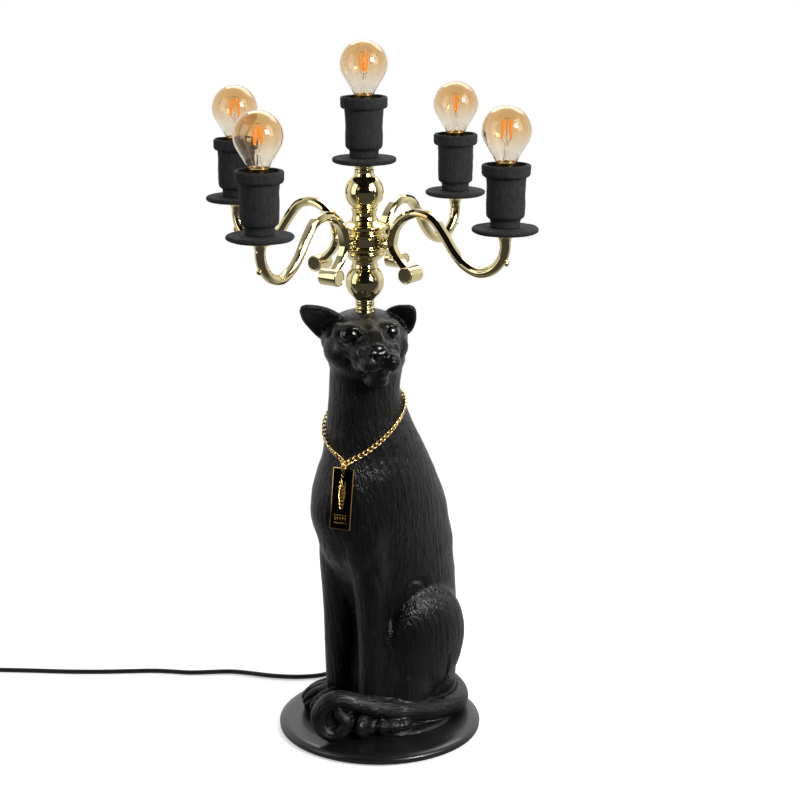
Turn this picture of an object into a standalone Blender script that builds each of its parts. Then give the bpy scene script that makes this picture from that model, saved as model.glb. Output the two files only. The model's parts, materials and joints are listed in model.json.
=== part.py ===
"""Table lamp: a seated panther on a round base carries a five-light brass candelabra.

Every piece that would come apart on a bench is its own closed solid in its own named object.
The frame is in metres with +Z up. The origin is on the axis of the brass column, on the surface
that the lamp stands on. -Y is the side that the panther looks towards.
"""
import math

import bmesh
import bpy
from mathutils import Matrix, Vector
from mathutils.bvhtree import BVHTree

# ------------------------------------------------------------------ clearances
GAP = 0.0003            # between pieces that rest on or fit in each other
EASE = 0.0008           # between the chain or pendant and the casting behind it

# ------------------------------------------------------------------ base
BASE_RADIUS = 0.1007
BASE_THICKNESS = 0.0080
BASE_EDGE_ROUND = 0.0030
BASE_CENTRE = (0.013, 0.003)    # the figure sits off the disc's centre
PAD_THICKNESS = 0.0017
PAD_MARGIN = 0.0045             # how far the pad stays inside the disc's edge
NUT_POCKET_RADIUS = 0.0125
NUT_POCKET_DEPTH = 0.0058
CABLE_GROOVE_WIDTH = 0.0072
CABLE_GROOVE_DEPTH = 0.0068

# ------------------------------------------------------------------ lamp pipe
ROD_RADIUS = 0.0050
NUT_ACROSS_FLATS = 0.0170
NUT_THICKNESS = 0.0030
NUT_FLANGE_RADIUS = 0.0112
NUT_FLANGE_THICKNESS = 0.0014

# ------------------------------------------------------------------ figure
FIGURE_HEIGHT = 0.4180          # from the disc's top to the crown of the head
FIGURE_DESIGN_HEIGHT = 0.4180   # the height that the shape tables below are drawn for
BODY_BEARING = math.radians(-142.0)     # where the chest points
HEAD_BEARING = math.radians(-77.0)      # where the face points
SEAT_DEPTH = 0.0035             # flat seat for the collar, below the crown
CAVITY_BASE_RADIUS = 0.027
CAVITY_TOP_RADIUS = 0.011
CAVITY_HEIGHT = 0.270
CAVITY_SHIFT = 0.62             # share of the way from the pipe to the middle of the haunches
VOXEL = 0.0052
FIGURE_DETAIL = 0.145           # share of the faces kept after the surface is simplified

# ------------------------------------------------------------------ column, bottom to top
COLLAR_HEIGHT = 0.0106
COLLAR_RADIUS = 0.0095
BALL_RADIUS = 0.0182
LOWER_BALL_HEIGHT = 0.0317
UPPER_BALL_HEIGHT = 0.0286
LOWER_SPOOL_HEIGHT = 0.0161
LOWER_FLANGE_RADIUS = 0.0191
HUB_HEIGHT = 0.0181
HUB_RADIUS = 0.0198
UPPER_SPOOL_HEIGHT = 0.0227
UPPER_FLANGE_RADIUS = 0.0223
TOP_COLLAR_HEIGHT = 0.0116
NECK_RADIUS = 0.0089

# ------------------------------------------------------------------ arms
ARM_REACH = 0.1550              # column axis to socket axis
ARM_TUBE_RADIUS = 0.0049
ARM_INNER_OFFSET = 0.0120       # hub's surface to the centreline of the arm's inner bulge
ARM_PIN_RADIUS = 0.0038
ARM_PIN_DEPTH = 0.0060
SCROLL_RADIUS = 0.0078
SCROLL_LENGTH = 0.0200
FERRULE_RADIUS = 0.0078
FERRULE_HEIGHT = 0.0070
NIPPLE_RADIUS = ROD_RADIUS
ARM_RISE = 0.0230               # hub's middle to the underside of the arm's drip pan
SCREW_HEAD_RADIUS = 0.0026
SCREW_HEAD_LENGTH = 0.0034
SCREW_SHANK_RADIUS = 0.0014
SCREW_SHANK_LENGTH = 0.0035
ARM_BEARINGS = {"front_right": -36.0, "back_right": 54.0, "back_left": 144.0, "front_left": -126.0}

# ------------------------------------------------------------------ sockets and bulbs
PAN_RADIUS = 0.0300
PAN_THICKNESS = 0.0058
COVER_FOOT_RADIUS = 0.0133
COVER_FOOT_HEIGHT = 0.0055
COVER_RADIUS = 0.0177
COVER_LIP_RADIUS = 0.0220
COVER_LIP_HEIGHT = 0.0100
COVER_HEIGHT = 0.0560
COVER_WALL = 0.0035
HOLDER_HEIGHT = 0.0370
HOLDER_SEAT = 0.0050            # depth of the socket for the pipe in the holder's underside
CAP_THREAD_RADIUS = 0.0068
CAP_SKIRT_RADIUS = 0.0083
CAP_HEIGHT = 0.0265
CAP_CLEARANCE = 0.0004          # between the cap's thread and the lampholder
BULB_RADIUS = 0.0220
BULB_NECK_TO_CENTRE = 0.0293
BULB_NECK_RADIUS = 0.0082
GLASS_WALL = 0.0008
FILAMENT_RADIUS = 0.0009
STEM_RADIUS = 0.0030

# ------------------------------------------------------------------ chain and pendant
CHAIN_RADIUS = 0.0023
CHAIN_FRONT_HEIGHT = 0.2780     # above the disc, at the pendant
CHAIN_RISE = 0.0560             # from the pendant up to the nape
PENDANT_BEARING = math.radians(-114.0)
RING_RADIUS = 0.0049
RING_WIRE = 0.0008
TAG_WIDTH = 0.0210
TAG_LENGTH = 0.0590
TAG_THICKNESS = 0.0024
TAG_HOLE_RADIUS = 0.0016
TAG_HOLE_MARGIN = 0.0026

# ------------------------------------------------------------------ cord, switch and plug
CORD_RADIUS = 0.0025
FLOOR_LIFT = 0.0001             # the cord's underside above the table
CORD_AXIS = 0.0075              # height of the cord where it enters the switch and the plug
GLAND_LENGTH = 0.0220
GLAND_FLANGE = 0.0020           # thickness of the shoulder that stops it against the disc
GLAND_RADIUS = 0.0046
GLAND_SHANK_RADIUS = 0.0031
GLAND_SHANK_LENGTH = 0.0100
SWITCH_START = (-0.4400, 0.1380)
SWITCH_LENGTH = 0.0620
SWITCH_WIDTH = 0.0220
ROCKER_LENGTH = 0.0180
ROCKER_WIDTH = 0.0100
ROCKER_TILT = math.radians(7.0)
ROCKER_PIVOT_DEPTH = 0.0010     # the rocker's axis below the case's top
ROCKER_WELL_DEPTH = 0.0060
COIL_CENTRE_X = -0.5650
COIL_COLUMNS = 4
COIL_LAYERS = 2
COIL_INNER_COLUMN = 0.0200
PLUG_BODY_LENGTH = 0.0360
PLUG_WIDTH = 0.0260
PLUG_THICKNESS = 0.0140
PLUG_RELIEF_LENGTH = 0.0160
PIN_RADIUS = 0.0020
PIN_LENGTH = 0.0190
PIN_SPACING = 0.0186

# ------------------------------------------------------------------ heights that follow
PAD_TOP = PAD_THICKNESS
PLATE_BOTTOM = PAD_TOP + GAP
PLATE_TOP = PLATE_BOTTOM + BASE_THICKNESS
FIGURE_BOTTOM = PLATE_TOP + GAP
FIGURE_SCALE = FIGURE_HEIGHT / FIGURE_DESIGN_HEIGHT
CROWN = FIGURE_BOTTOM + FIGURE_HEIGHT
COLLAR_BOTTOM = CROWN - SEAT_DEPTH + GAP
LOWER_BALL_BOTTOM = COLLAR_BOTTOM + COLLAR_HEIGHT + GAP
LOWER_SPOOL_BOTTOM = LOWER_BALL_BOTTOM + LOWER_BALL_HEIGHT + GAP
HUB_BOTTOM = LOWER_SPOOL_BOTTOM + LOWER_SPOOL_HEIGHT + GAP
HUB_MIDDLE = HUB_BOTTOM + HUB_HEIGHT / 2
UPPER_SPOOL_BOTTOM = HUB_BOTTOM + HUB_HEIGHT + GAP
UPPER_BALL_BOTTOM = UPPER_SPOOL_BOTTOM + UPPER_SPOOL_HEIGHT + GAP
TOP_COLLAR_BOTTOM = UPPER_BALL_BOTTOM + UPPER_BALL_HEIGHT + GAP
CENTRE_PAN_BOTTOM = TOP_COLLAR_BOTTOM + TOP_COLLAR_HEIGHT + GAP
ARM_PAN_BOTTOM = HUB_MIDDLE + ARM_RISE
BORE_RADIUS = ROD_RADIUS + GAP
HOLDER_BOTTOM = COVER_FOOT_HEIGHT + COVER_WALL / 2 + 2 * GAP      # above a pan's top
NIPPLE_TOP = HOLDER_BOTTOM + HOLDER_SEAT - GAP                    # above a pan's top
CAP_TOP = COVER_HEIGHT + GAP                                      # above a pan's top
CORD_REST = CORD_RADIUS + FLOOR_LIFT
COIL_OUTER_COLUMN = COIL_INNER_COLUMN + (COIL_COLUMNS - 1) * 2 * CORD_RADIUS
COIL_OUTER = COIL_OUTER_COLUMN + CORD_RADIUS
COIL_CENTRE = (COIL_CENTRE_X, SWITCH_START[1] - COIL_OUTER_COLUMN)

# Chosen by hand: from the gland, down to the table, and away to the left as far as the switch.
CORD_ROUTE = [
    (12.8, 136.0, 4.6), (10.0, 144.0, 3.6), (1.5, 150.5, 2.8), (-10.0, 151.0, 2.6),
    (-20.5, 144.0, 2.6), (-29.5, 132.5, 2.6), (-38.5, 122.5, 2.6), (-50.0, 115.5, 2.6),
    (-64.0, 112.5, 2.6), (-80.0, 112.0, 2.6), (-104.0, 116.0, 2.6), (-126.0, 123.0, 2.6),
    (-147.0, 127.5, 2.6), (-168.0, 126.5, 2.6), (-189.0, 125.5, 2.6), (-208.0, 128.5, 2.6),
    (-228.0, 131.0, 2.6), (-250.0, 130.5, 2.6), (-285.0, 129.5, 2.6), (-320.0, 130.5, 2.6),
    (-360.0, 134.0, 2.6), (-394.0, 136.5, 2.6), (-412.0, 137.5, 3.4), (-426.0, 138.0, 5.8),
]

SOCKETS = list(ARM_BEARINGS) + ["centre"]


# ================================================================== scene helpers
def clear_scene():
    """Remove what the scene holds, so that the script always starts from nothing."""
    for obj in list(bpy.data.objects):
        bpy.data.objects.remove(obj, do_unlink=True)
    for collection in list(bpy.data.collections):
        bpy.data.collections.remove(collection)


def make_collection(name):
    collection = bpy.data.collections.new(name)
    bpy.context.scene.collection.children.link(collection)
    return collection


def make_material(name, colour, roughness, metallic=0.0, alpha=1.0):
    material = bpy.data.materials.new(name)
    material.use_nodes = True
    shader = material.node_tree.nodes["Principled BSDF"]
    shader.inputs["Base Color"].default_value = (*colour, 1.0)
    shader.inputs["Roughness"].default_value = roughness
    shader.inputs["Metallic"].default_value = metallic
    shader.inputs["Alpha"].default_value = alpha
    return material


FINISHES = {
    "resin": ((0.012, 0.012, 0.013), 0.42, 0.0),
    "base": ((0.015, 0.015, 0.016), 0.45, 0.0),
    "felt": ((0.02, 0.02, 0.02), 0.95, 0.0),
    "brass": ((0.78, 0.66, 0.36), 0.10, 1.0),
    "steel": ((0.55, 0.55, 0.56), 0.35, 1.0),
    "cover": ((0.02, 0.02, 0.022), 0.85, 0.0),
    "holder": ((0.03, 0.03, 0.03), 0.5, 0.0),
    "cap": ((0.80, 0.62, 0.30), 0.25, 1.0),
    "glass": ((0.95, 0.70, 0.38), 0.05, 0.0, 0.35),
    "filament": ((1.0, 0.45, 0.08), 0.4, 0.0),
    "gold": ((0.90, 0.62, 0.18), 0.2, 1.0),
    "tag": ((0.02, 0.02, 0.02), 0.15, 0.2),
    "cord": ((0.012, 0.012, 0.012), 0.5, 0.0),
    "plastic": ((0.015, 0.015, 0.015), 0.4, 0.0),
}


def finish(obj, finish_name):
    """Give the object a material of its own in the named finish, and put it in the lamp."""
    colour, roughness, metallic, *alpha = FINISHES[finish_name]
    material = make_material(f"{obj.name}_{finish_name}", colour, roughness, metallic, *alpha)
    if obj.data.users > 1 and obj.data.materials:
        obj.material_slots[0].link = "OBJECT"
        obj.material_slots[0].material = material
    else:
        obj.data.materials.clear()
        obj.data.materials.append(material)
    return obj


def link(obj, collection):
    collection.objects.link(obj)
    return obj


def shade(obj, angle=math.radians(40)):
    obj.data.shade_smooth()
    obj.data.set_sharp_from_angle(angle=angle)


def add_screw(obj, segments):
    screw = obj.modifiers.new("turned", "SCREW")
    screw.axis = "Z"
    screw.angle = 2 * math.pi
    screw.steps = segments
    screw.render_steps = segments
    screw.use_merge_vertices = True
    screw.merge_threshold = 0.00001
    screw.use_smooth_shade = True


def turned(name, profile, segments=20, at=(0.0, 0.0, 0.0), closed=True):
    """A turned solid. The profile is (radius, height) points that start at the top of the outer
    side and run down it; a closed one goes back up the bore."""
    mesh = bpy.data.meshes.new(name)
    edges = [(i, i + 1) for i in range(len(profile) - 1)]
    if closed:
        edges.append((len(profile) - 1, 0))
    mesh.from_pydata([(r, 0.0, z) for r, z in profile], edges, [])
    obj = bpy.data.objects.new(name, mesh)
    obj.location = at
    link(obj, PARTS)
    add_screw(obj, segments)
    return obj


def copy_of(source, name, at, turn=0.0):
    """A further object with the same mesh and modifiers as the source, in its own place."""
    obj = source.copy()
    obj.name = name
    obj.location = at
    obj.rotation_euler = (0.0, 0.0, turn)
    return link(obj, PARTS)


def arc(centre, radius, start, end, steps):
    """Points of a round stretch of a profile, by angles in degrees from the +radius direction."""
    angles = [math.radians(start + (end - start) * i / steps) for i in range(steps + 1)]
    return [(centre[0] + radius * math.cos(a), centre[1] + radius * math.sin(a)) for a in angles]


def smooth_path(points, per_span, cyclic=False):
    """Points along a Catmull-Rom curve through the given ones."""
    knots = [Vector(p) for p in points]
    count = len(knots)
    path = []
    for i in range(count if cyclic else count - 1):
        if cyclic:
            a, b, c, d = (knots[(i + k) % count] for k in (-1, 0, 1, 2))
        else:
            b, c = knots[i], knots[i + 1]
            a = knots[i - 1] if i else b + (b - c)
            d = knots[i + 2] if i + 2 < count else c + (c - b)
        for k in range(per_span):
            u = k / per_span
            path.append(0.5 * (2 * b + (c - a) * u + (2 * a - 5 * b + 4 * c - d) * u ** 2
                               + (3 * b - 3 * c + d - a) * u ** 3))
    if not cyclic:
        path.append(knots[-1])
    return path


def tube(name, points, radius, radii=None, resolution=2, cyclic=False, collection=None):
    """A round tube along a run of points, as a curve with a bevel and filled ends."""
    curve = bpy.data.curves.new(name, "CURVE")
    curve.dimensions = "3D"
    curve.bevel_depth = radius
    curve.bevel_resolution = resolution
    curve.use_fill_caps = not cyclic
    spline = curve.splines.new("POLY")
    spline.points.add(len(points) - 1)
    for i, point in enumerate(points):
        spline.points[i].co = (*point, 1.0)
        spline.points[i].radius = radii[i] if radii else 1.0
    spline.use_cyclic_u = cyclic
    spline.use_smooth = True
    obj = bpy.data.objects.new(name, curve)
    return link(obj, collection or PARTS)


def evaluated_mesh(obj):
    """The object's mesh with its modifiers applied, its loose seams closed, in its own space."""
    graph = bpy.context.evaluated_depsgraph_get()
    mesh = bpy.data.meshes.new_from_object(obj.evaluated_get(graph))
    shape = bmesh.new()
    shape.from_mesh(mesh)
    bmesh.ops.remove_doubles(shape, verts=shape.verts, dist=0.000005)
    bmesh.ops.recalc_face_normals(shape, faces=shape.faces)
    shape.to_mesh(mesh)
    shape.free()
    return mesh


def made_solid(obj, name=None):
    """Replace a curve or a modified object by the plain mesh that it evaluates to."""
    mesh = evaluated_mesh(obj)
    solid = bpy.data.objects.new(name or obj.name, mesh)
    solid.matrix_world = obj.matrix_world.copy()
    collection = obj.users_collection[0]
    old_name = obj.name
    bpy.data.objects.remove(obj, do_unlink=True)
    solid.name = name or old_name
    return link(solid, collection)


def boolean(obj, tool, operation):
    """Join a shape to the object, or cut it away."""
    tool.hide_render = True
    tool.display_type = "WIRE"
    modifier = obj.modifiers.new(f"{operation.lower()}_{tool.name}", "BOOLEAN")
    modifier.operation = operation
    modifier.solver = "EXACT"
    modifier.object = tool


def cylinder(name, radius, start, end, segments=20, end_radius=None):
    """A round bar or cone between two points, among the cutters."""
    start, end = Vector(start), Vector(end)
    run = end - start
    shape = bmesh.new()
    bmesh.ops.create_cone(shape, cap_ends=True, segments=segments, radius1=radius,
                          radius2=radius if end_radius is None else end_radius, depth=run.length)
    turn = run.to_track_quat("Z", "Y").to_matrix().to_4x4()
    shape.transform(Matrix.Translation((start + end) / 2) @ turn)
    return from_bmesh(name, shape, CUTTERS)


def box(name, low, high, collection=None):
    """A box between two corners."""
    low, high = Vector(low), Vector(high)
    shape = bmesh.new()
    bmesh.ops.create_cube(shape, size=1.0)
    shape.transform(Matrix.Translation((low + high) / 2) @ Matrix.Diagonal((*(high - low), 1.0)))
    return from_bmesh(name, shape, collection or CUTTERS)


def from_bmesh(name, shape, collection):
    mesh = bpy.data.meshes.new(name)
    shape.to_mesh(mesh)
    shape.free()
    return link(bpy.data.objects.new(name, mesh), collection)


# ================================================================== base
def build_base():
    """The round disc with its underside pocket and cable groove, and the pad beneath it."""
    x, y = BASE_CENTRE
    rim = arc((BASE_RADIUS - BASE_EDGE_ROUND, PLATE_TOP - BASE_EDGE_ROUND), BASE_EDGE_ROUND, 90, 0, 3)
    disc = [(0.0, PLATE_TOP)] + rim + [(BASE_RADIUS - 0.0005, PLATE_BOTTOM), (0.0, PLATE_BOTTOM)]
    plate = turned("base_plate", disc, 40, (x, y, 0.0), closed=False)
    plate = made_solid(plate)
    below, above = PLATE_BOTTOM - 0.001, PLATE_TOP + 0.001
    pocket_top = PLATE_BOTTOM + NUT_POCKET_DEPTH
    groove_top = PLATE_BOTTOM + CABLE_GROOVE_DEPTH
    half = CABLE_GROOVE_WIDTH / 2
    boolean(plate, cylinder("rod_hole", BORE_RADIUS, (0, 0, below), (0, 0, above)), "DIFFERENCE")
    boolean(plate, cylinder("nut_pocket", NUT_POCKET_RADIUS, (0, 0, below), (0, 0, pocket_top), 28),
            "DIFFERENCE")
    groove = box("cable_groove", (x - half, NUT_POCKET_RADIUS / 2, below - 0.0005),
                 (x + half, y + BASE_RADIUS + 0.002, groove_top))
    boolean(plate, groove, "DIFFERENCE")
    entry = box("groove_entry", (0.0, NUT_POCKET_RADIUS / 3, below - 0.0002),
                (x, NUT_POCKET_RADIUS, groove_top - 0.0011))
    boolean(plate, entry, "DIFFERENCE")
    finish(made_solid(plate), "base")
    radius = BASE_RADIUS - PAD_MARGIN
    pad = turned("base_pad", [(0, PAD_TOP), (radius, PAD_TOP), (radius, 0), (0, 0)], 40,
                 (x, y, 0.0), closed=False)
    finish(pad, "felt")


def build_gland():
    """The tapered bush in the groove at the back of the disc, where the cord comes out."""
    x = BASE_CENTRE[0]
    face = BASE_CENTRE[1] + BASE_RADIUS
    axis_height = PLATE_BOTTOM + CABLE_GROOVE_DEPTH / 2 + GAP / 2
    shoulder = GLAND_SHANK_LENGTH + GAP
    taper = shoulder + GLAND_FLANGE
    end = taper + GLAND_LENGTH
    profile = [
        (0.0, end), (CORD_RADIUS + 0.0006, end), (GLAND_RADIUS - 0.0007, taper),
        (GLAND_RADIUS, taper - 0.0004), (GLAND_RADIUS, shoulder), (GLAND_SHANK_RADIUS, shoulder),
        (GLAND_SHANK_RADIUS, 0.0), (0.0, 0.0),
    ]
    gland = turned("cable_gland", profile, 16, (x, face - GLAND_SHANK_LENGTH, axis_height), closed=False)
    gland.rotation_euler = (-math.pi / 2, 0.0, 0.0)
    finish(gland, "plastic")
    return Vector((x, face - GLAND_SHANK_LENGTH + end, axis_height))


def build_rod():
    """The threaded lamp pipe that clamps the whole lamp together, and its nut under the disc."""
    pocket_top = PLATE_BOTTOM + NUT_POCKET_DEPTH
    nut_top = pocket_top - GAP
    nut_bottom = nut_top - NUT_FLANGE_THICKNESS - NUT_THICKNESS
    bottom = nut_bottom - GAP
    top = CENTRE_PAN_BOTTOM + PAN_THICKNESS + NIPPLE_TOP
    rod = turned("threaded_rod", [(0, top), (ROD_RADIUS, top), (ROD_RADIUS, bottom), (0, bottom)],
                 16, closed=False)
    finish(rod, "steel")
    flange = cylinder("nut_blank", NUT_FLANGE_RADIUS, (0, 0, nut_top - NUT_FLANGE_THICKNESS),
                      (0, 0, nut_top), 24)
    hexagon = cylinder("nut_hexagon", NUT_ACROSS_FLATS / math.sqrt(3), (0, 0, nut_bottom),
                       (0, 0, nut_top - NUT_FLANGE_THICKNESS / 2), 6)
    boolean(flange, hexagon, "UNION")
    bore = cylinder("nut_bore", BORE_RADIUS, (0, 0, nut_bottom - 0.001), (0, 0, nut_top + 0.001), 20)
    boolean(flange, bore, "DIFFERENCE")
    nut = made_solid(flange, "rod_nut")
    move_to_parts(nut)
    finish(nut, "steel")


def move_to_parts(obj):
    for collection in list(obj.users_collection):
        collection.objects.unlink(obj)
    obj.hide_render = False
    obj.display_type = "TEXTURED"
    link(obj, PARTS)


# ================================================================== figure
def body_point(forward, side, height):
    """A point of the body: forward along the chest's bearing, side to the panther's left."""
    ahead = Vector((math.cos(BODY_BEARING), math.sin(BODY_BEARING), 0.0))
    left = Vector((-ahead.y, ahead.x, 0.0))
    point = ahead * forward + left * side
    return Vector((point.x, point.y, height)) * (0.001 * FIGURE_SCALE) + Vector((0, 0, FIGURE_BOTTOM))


def head_point(forward, side, height):
    """A point of the head: forward along the face's bearing, side to the panther's left."""
    ahead = Vector((math.cos(HEAD_BEARING), math.sin(HEAD_BEARING), 0.0))
    left = Vector((-ahead.y, ahead.x, 0.0))
    point = ahead * forward + left * side
    return Vector((point.x, point.y, height)) * (0.001 * FIGURE_SCALE) + Vector((0, 0, FIGURE_BOTTOM))


# Torso and neck: height, forward centre, half depth and half width, in figure millimetres.
TORSO = [
    (0, -46, 54, 46), (40, -48, 56, 50), (92, -50, 55, 48), (134, -43, 61, 46),
    (155, -36, 67, 45), (176, -29, 74, 45), (197, -22, 75, 46), (217, -16.5, 76, 48),
    (238, -12.7, 71, 47), (258, -10.8, 63, 45), (278, -10.0, 54, 41), (299, -5.7, 47, 37),
    (319, -2, 41, 33.5), (339, 1, 36, 31.5), (362, -1.5, 37, 33),
]
# Masses of the body: forward, side, height, then half sizes forward, sideways and up.
HAUNCH = [(-46, 39.5, 84, 45, 23, 58), (-24, 40, 40, 26, 17, 34)]
RUMP = [(-74, 0, 40, 32, 36, 40)]
HIND_FOOT = [(-14, 44, 9, 40, 12, 11), (10, 45, 10, 14, 13, 11)]
CHEST = [(24, 0, 224, 32, 35, 40), (18, 22, 200, 26, 22, 46), (16, -21, 200, 25, 21, 44)]
# Front legs: forward, side, height and radius, from the shoulder to the wrist.
LEG_LEFT = [(14, 21, 215, 24), (14, 23, 165, 19), (12.5, 24.5, 120, 16), (12, 24.5, 60, 14.5),
            (12, 24.5, 24, 15)]
LEG_RIGHT = [(14, -21, 215, 22), (16, -24, 165, 19), (14.5, -26, 120, 16.2), (13, -27.5, 60, 14.8),
             (10, -29.5, 24, 15.3)]
# Front paws: forward, side, and how far the toes turn to the panther's right, in degrees.
PAWS = {"left": (12, 24.5, 4.0), "right": (10, -30, 17.0)}
# Masses of the head, in the same order as the body's.
HEAD = [
    (-3, 0, 389, 39, 38, 29), (6, 0, 371, 34, 37, 21), (38, 0, 378, 25, 20, 16),
    (50, 0, 375, 15, 21, 12), (44, 0, 362, 15, 13, 8), (26, 0, 400, 22, 15, 13),
    (52, 0, 388, 14, 10, 7), (26, 17, 405, 13, 12, 7), (26, -17, 405, 13, 12, 7),
]
EARS = [(-5, 39, 407, 8, 13, 17), (-5, -44, 408, 8, 13, 17)]
EAR_LEAN = math.radians(38)
# Tail: x, y, height above the disc and radius, from the rump round the left side to the curl.
TAIL = [
    (64, 54, 16, 12), (79, 58, 13, 12), (90, 42, 11, 11), (93, 22, 10.5, 10.5), (89, 5, 10.5, 10.5),
    (78, -7, 10.5, 10.5), (64, -17, 12, 10.5), (43, -30, 18, 10.2), (22, -41, 24, 9.8),
    (4, -48, 30, 9.4), (-12, -53, 37, 9.0), (-27, -56, 42, 8.6), (-40, -59, 38, 8.2),
    (-47, -62, 27, 7.8), (-43, -64, 14, 7.4), (-33, -65, 8, 7.0), (-23, -64, 13, 6.6),
    (-21, -62, 22, 6.2), (-28, -60, 28, 5.8),
]
GROUND_PAD = (24, 8, 62, 3.5)   # x, y, radius and height of the casting's foot
HAUNCH_MIDDLE = -34             # forward of the pipe, for the cavity


def ellipsoid(shape, place, sizes, bearing, tilt=0.0):
    """Add a rounded mass to a bmesh, its first half size along the bearing."""
    scale = 0.001 * FIGURE_SCALE
    size = Matrix.Diagonal((sizes[0] * scale, sizes[1] * scale, sizes[2] * scale, 1.0))
    turn = Matrix.Rotation(bearing, 4, "Z") @ Matrix.Rotation(tilt, 4, "X")
    bmesh.ops.create_uvsphere(shape, u_segments=20, v_segments=14, radius=1.0,
                              matrix=Matrix.Translation(place) @ turn @ size)


def add_torso(shape):
    """Loft the torso and neck through their stations, as one closed body."""
    sides = 28
    rings = []
    for height, forward, depth, width in TORSO:
        ring = []
        for k in range(sides):
            a = 2 * math.pi * k / sides
            ring.append(shape.verts.new(body_point(forward + depth * math.cos(a),
                                                   width * math.sin(a), height)))
        rings.append(ring)
    for low, high in zip(rings, rings[1:]):
        for k in range(sides):
            shape.faces.new((low[k], low[(k + 1) % sides], high[(k + 1) % sides], high[k]))
    shape.faces.new(list(reversed(rings[0])))
    shape.faces.new(rings[-1])


def add_tube(shape, stations):
    """Add a round limb through (point, radius) stations, smoothly tapered."""
    points = smooth_path([point for point, _ in stations], 4)
    radii = [p[0] for p in smooth_path([(radius, 0, 0) for _, radius in stations], 4)]
    limb = tube("limb", points, 0.001, [r / 0.001 for r in radii], 4, collection=CUTTERS)
    mesh = evaluated_mesh(limb)
    shape.from_mesh(mesh)
    bpy.data.objects.remove(limb, do_unlink=True)
    for end in (0, -1):
        bmesh.ops.create_uvsphere(shape, u_segments=16, v_segments=10, radius=radii[end],
                                  matrix=Matrix.Translation(points[end]))


def add_paw(shape, forward, side, splay):
    """A front paw: the foot and four toes, fanned about its own bearing."""
    bearing = BODY_BEARING - math.radians(splay)
    ahead = Vector((math.cos(bearing), math.sin(bearing), 0.0))
    left = Vector((-ahead.y, ahead.x, 0.0))
    unit = 0.001 * FIGURE_SCALE
    root = body_point(forward, side, 0)
    ellipsoid(shape, root + (ahead * 14 + Vector((0, 0, 11))) * unit, (26, 19, 12), bearing)
    for spread, reach in ((-15, 31), (-5.5, 36), (5.5, 36), (15, 31)):
        place = root + (ahead * reach + left * spread + Vector((0, 0, 8))) * unit
        ellipsoid(shape, place, (11, 6.5, 8.5), bearing)


def add_masses(shape, masses, place, bearing, sides=(1,)):
    for forward, side, height, *sizes in masses:
        for sign in sides:
            ellipsoid(shape, place(forward, side * sign, height), sizes, bearing)


def build_figure():
    """The seated panther: one hollow casting with a flat seat on its crown and a bore for the pipe."""
    unit = 0.001 * FIGURE_SCALE
    shape = bmesh.new()
    add_torso(shape)
    add_masses(shape, CHEST + RUMP, body_point, BODY_BEARING)
    add_masses(shape, HAUNCH + HIND_FOOT, body_point, BODY_BEARING, (1, -1))
    for leg in (LEG_LEFT, LEG_RIGHT):
        add_tube(shape, [(body_point(f, s, h), r * unit) for f, s, h, r in leg])
    for forward, side, splay in PAWS.values():
        add_paw(shape, forward, side, splay)
    add_masses(shape, HEAD, head_point, HEAD_BEARING)
    for forward, side, height, *sizes in EARS:
        lean = math.copysign(EAR_LEAN, -side)
        ellipsoid(shape, head_point(forward, side, height), sizes, HEAD_BEARING, lean)
    foot = Vector((0, 0, FIGURE_BOTTOM))
    add_tube(shape, [(Vector((x, y, h)) * unit + foot, r * unit) for x, y, h, r in TAIL])
    x, y, radius, height = GROUND_PAD
    bmesh.ops.create_cone(shape, cap_ends=True, segments=40, radius1=radius * unit,
                          radius2=(radius - 2) * unit, depth=2 * height * unit,
                          matrix=Matrix.Translation(Vector((x, y, 0)) * unit + foot))
    figure = from_bmesh("panther_body", shape, PARTS)
    skin = figure.modifiers.new("skin", "REMESH")
    skin.mode = "VOXEL"
    skin.voxel_size = VOXEL * FIGURE_SCALE
    soften = figure.modifiers.new("soften", "SMOOTH")
    soften.factor = 0.4
    soften.iterations = 2
    simplify = figure.modifiers.new("simplify", "DECIMATE")
    simplify.ratio = FIGURE_DETAIL
    skin_surface = evaluated_mesh(figure)
    surface = bmesh.new()
    surface.from_mesh(skin_surface)
    tree = BVHTree.FromBMesh(surface)
    surface.free()
    cut_figure(figure, unit)
    return tree


def cut_figure(figure, unit):
    """Flatten the underside, then open the cavity, the bore and the collar's seat."""
    reach = 0.3 * FIGURE_SCALE
    ground = box("ground", (-reach, -reach, FIGURE_BOTTOM - 0.1), (reach, reach, FIGURE_BOTTOM))
    boolean(figure, ground, "DIFFERENCE")
    centre = body_point(HAUNCH_MIDDLE, 0, 0)
    cavity = cylinder("cavity", CAVITY_BASE_RADIUS, (0, 0, FIGURE_BOTTOM - 0.002),
                      (0, 0, FIGURE_BOTTOM + CAVITY_HEIGHT * FIGURE_SCALE), 24, CAVITY_TOP_RADIUS)
    for vertex in cavity.data.vertices:
        share = 1 - (vertex.co.z - FIGURE_BOTTOM) / (CAVITY_HEIGHT * FIGURE_SCALE)
        vertex.co.x += centre.x * CAVITY_SHIFT * min(share, 1.0)
        vertex.co.y += centre.y * CAVITY_SHIFT * min(share, 1.0)
    boolean(figure, cavity, "DIFFERENCE")
    bore = cylinder("figure_bore", BORE_RADIUS, (0, 0, FIGURE_BOTTOM - 0.004), (0, 0, CROWN + 0.02), 16)
    boolean(figure, bore, "DIFFERENCE")
    seat = cylinder("collar_seat", COLLAR_RADIUS + 2 * GAP, (0, 0, CROWN - SEAT_DEPTH),
                    (0, 0, CROWN + 0.02), 24)
    boolean(figure, seat, "DIFFERENCE")
    figure = made_solid(figure)
    shade(figure, math.radians(60))
    finish(figure, "resin")


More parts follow.
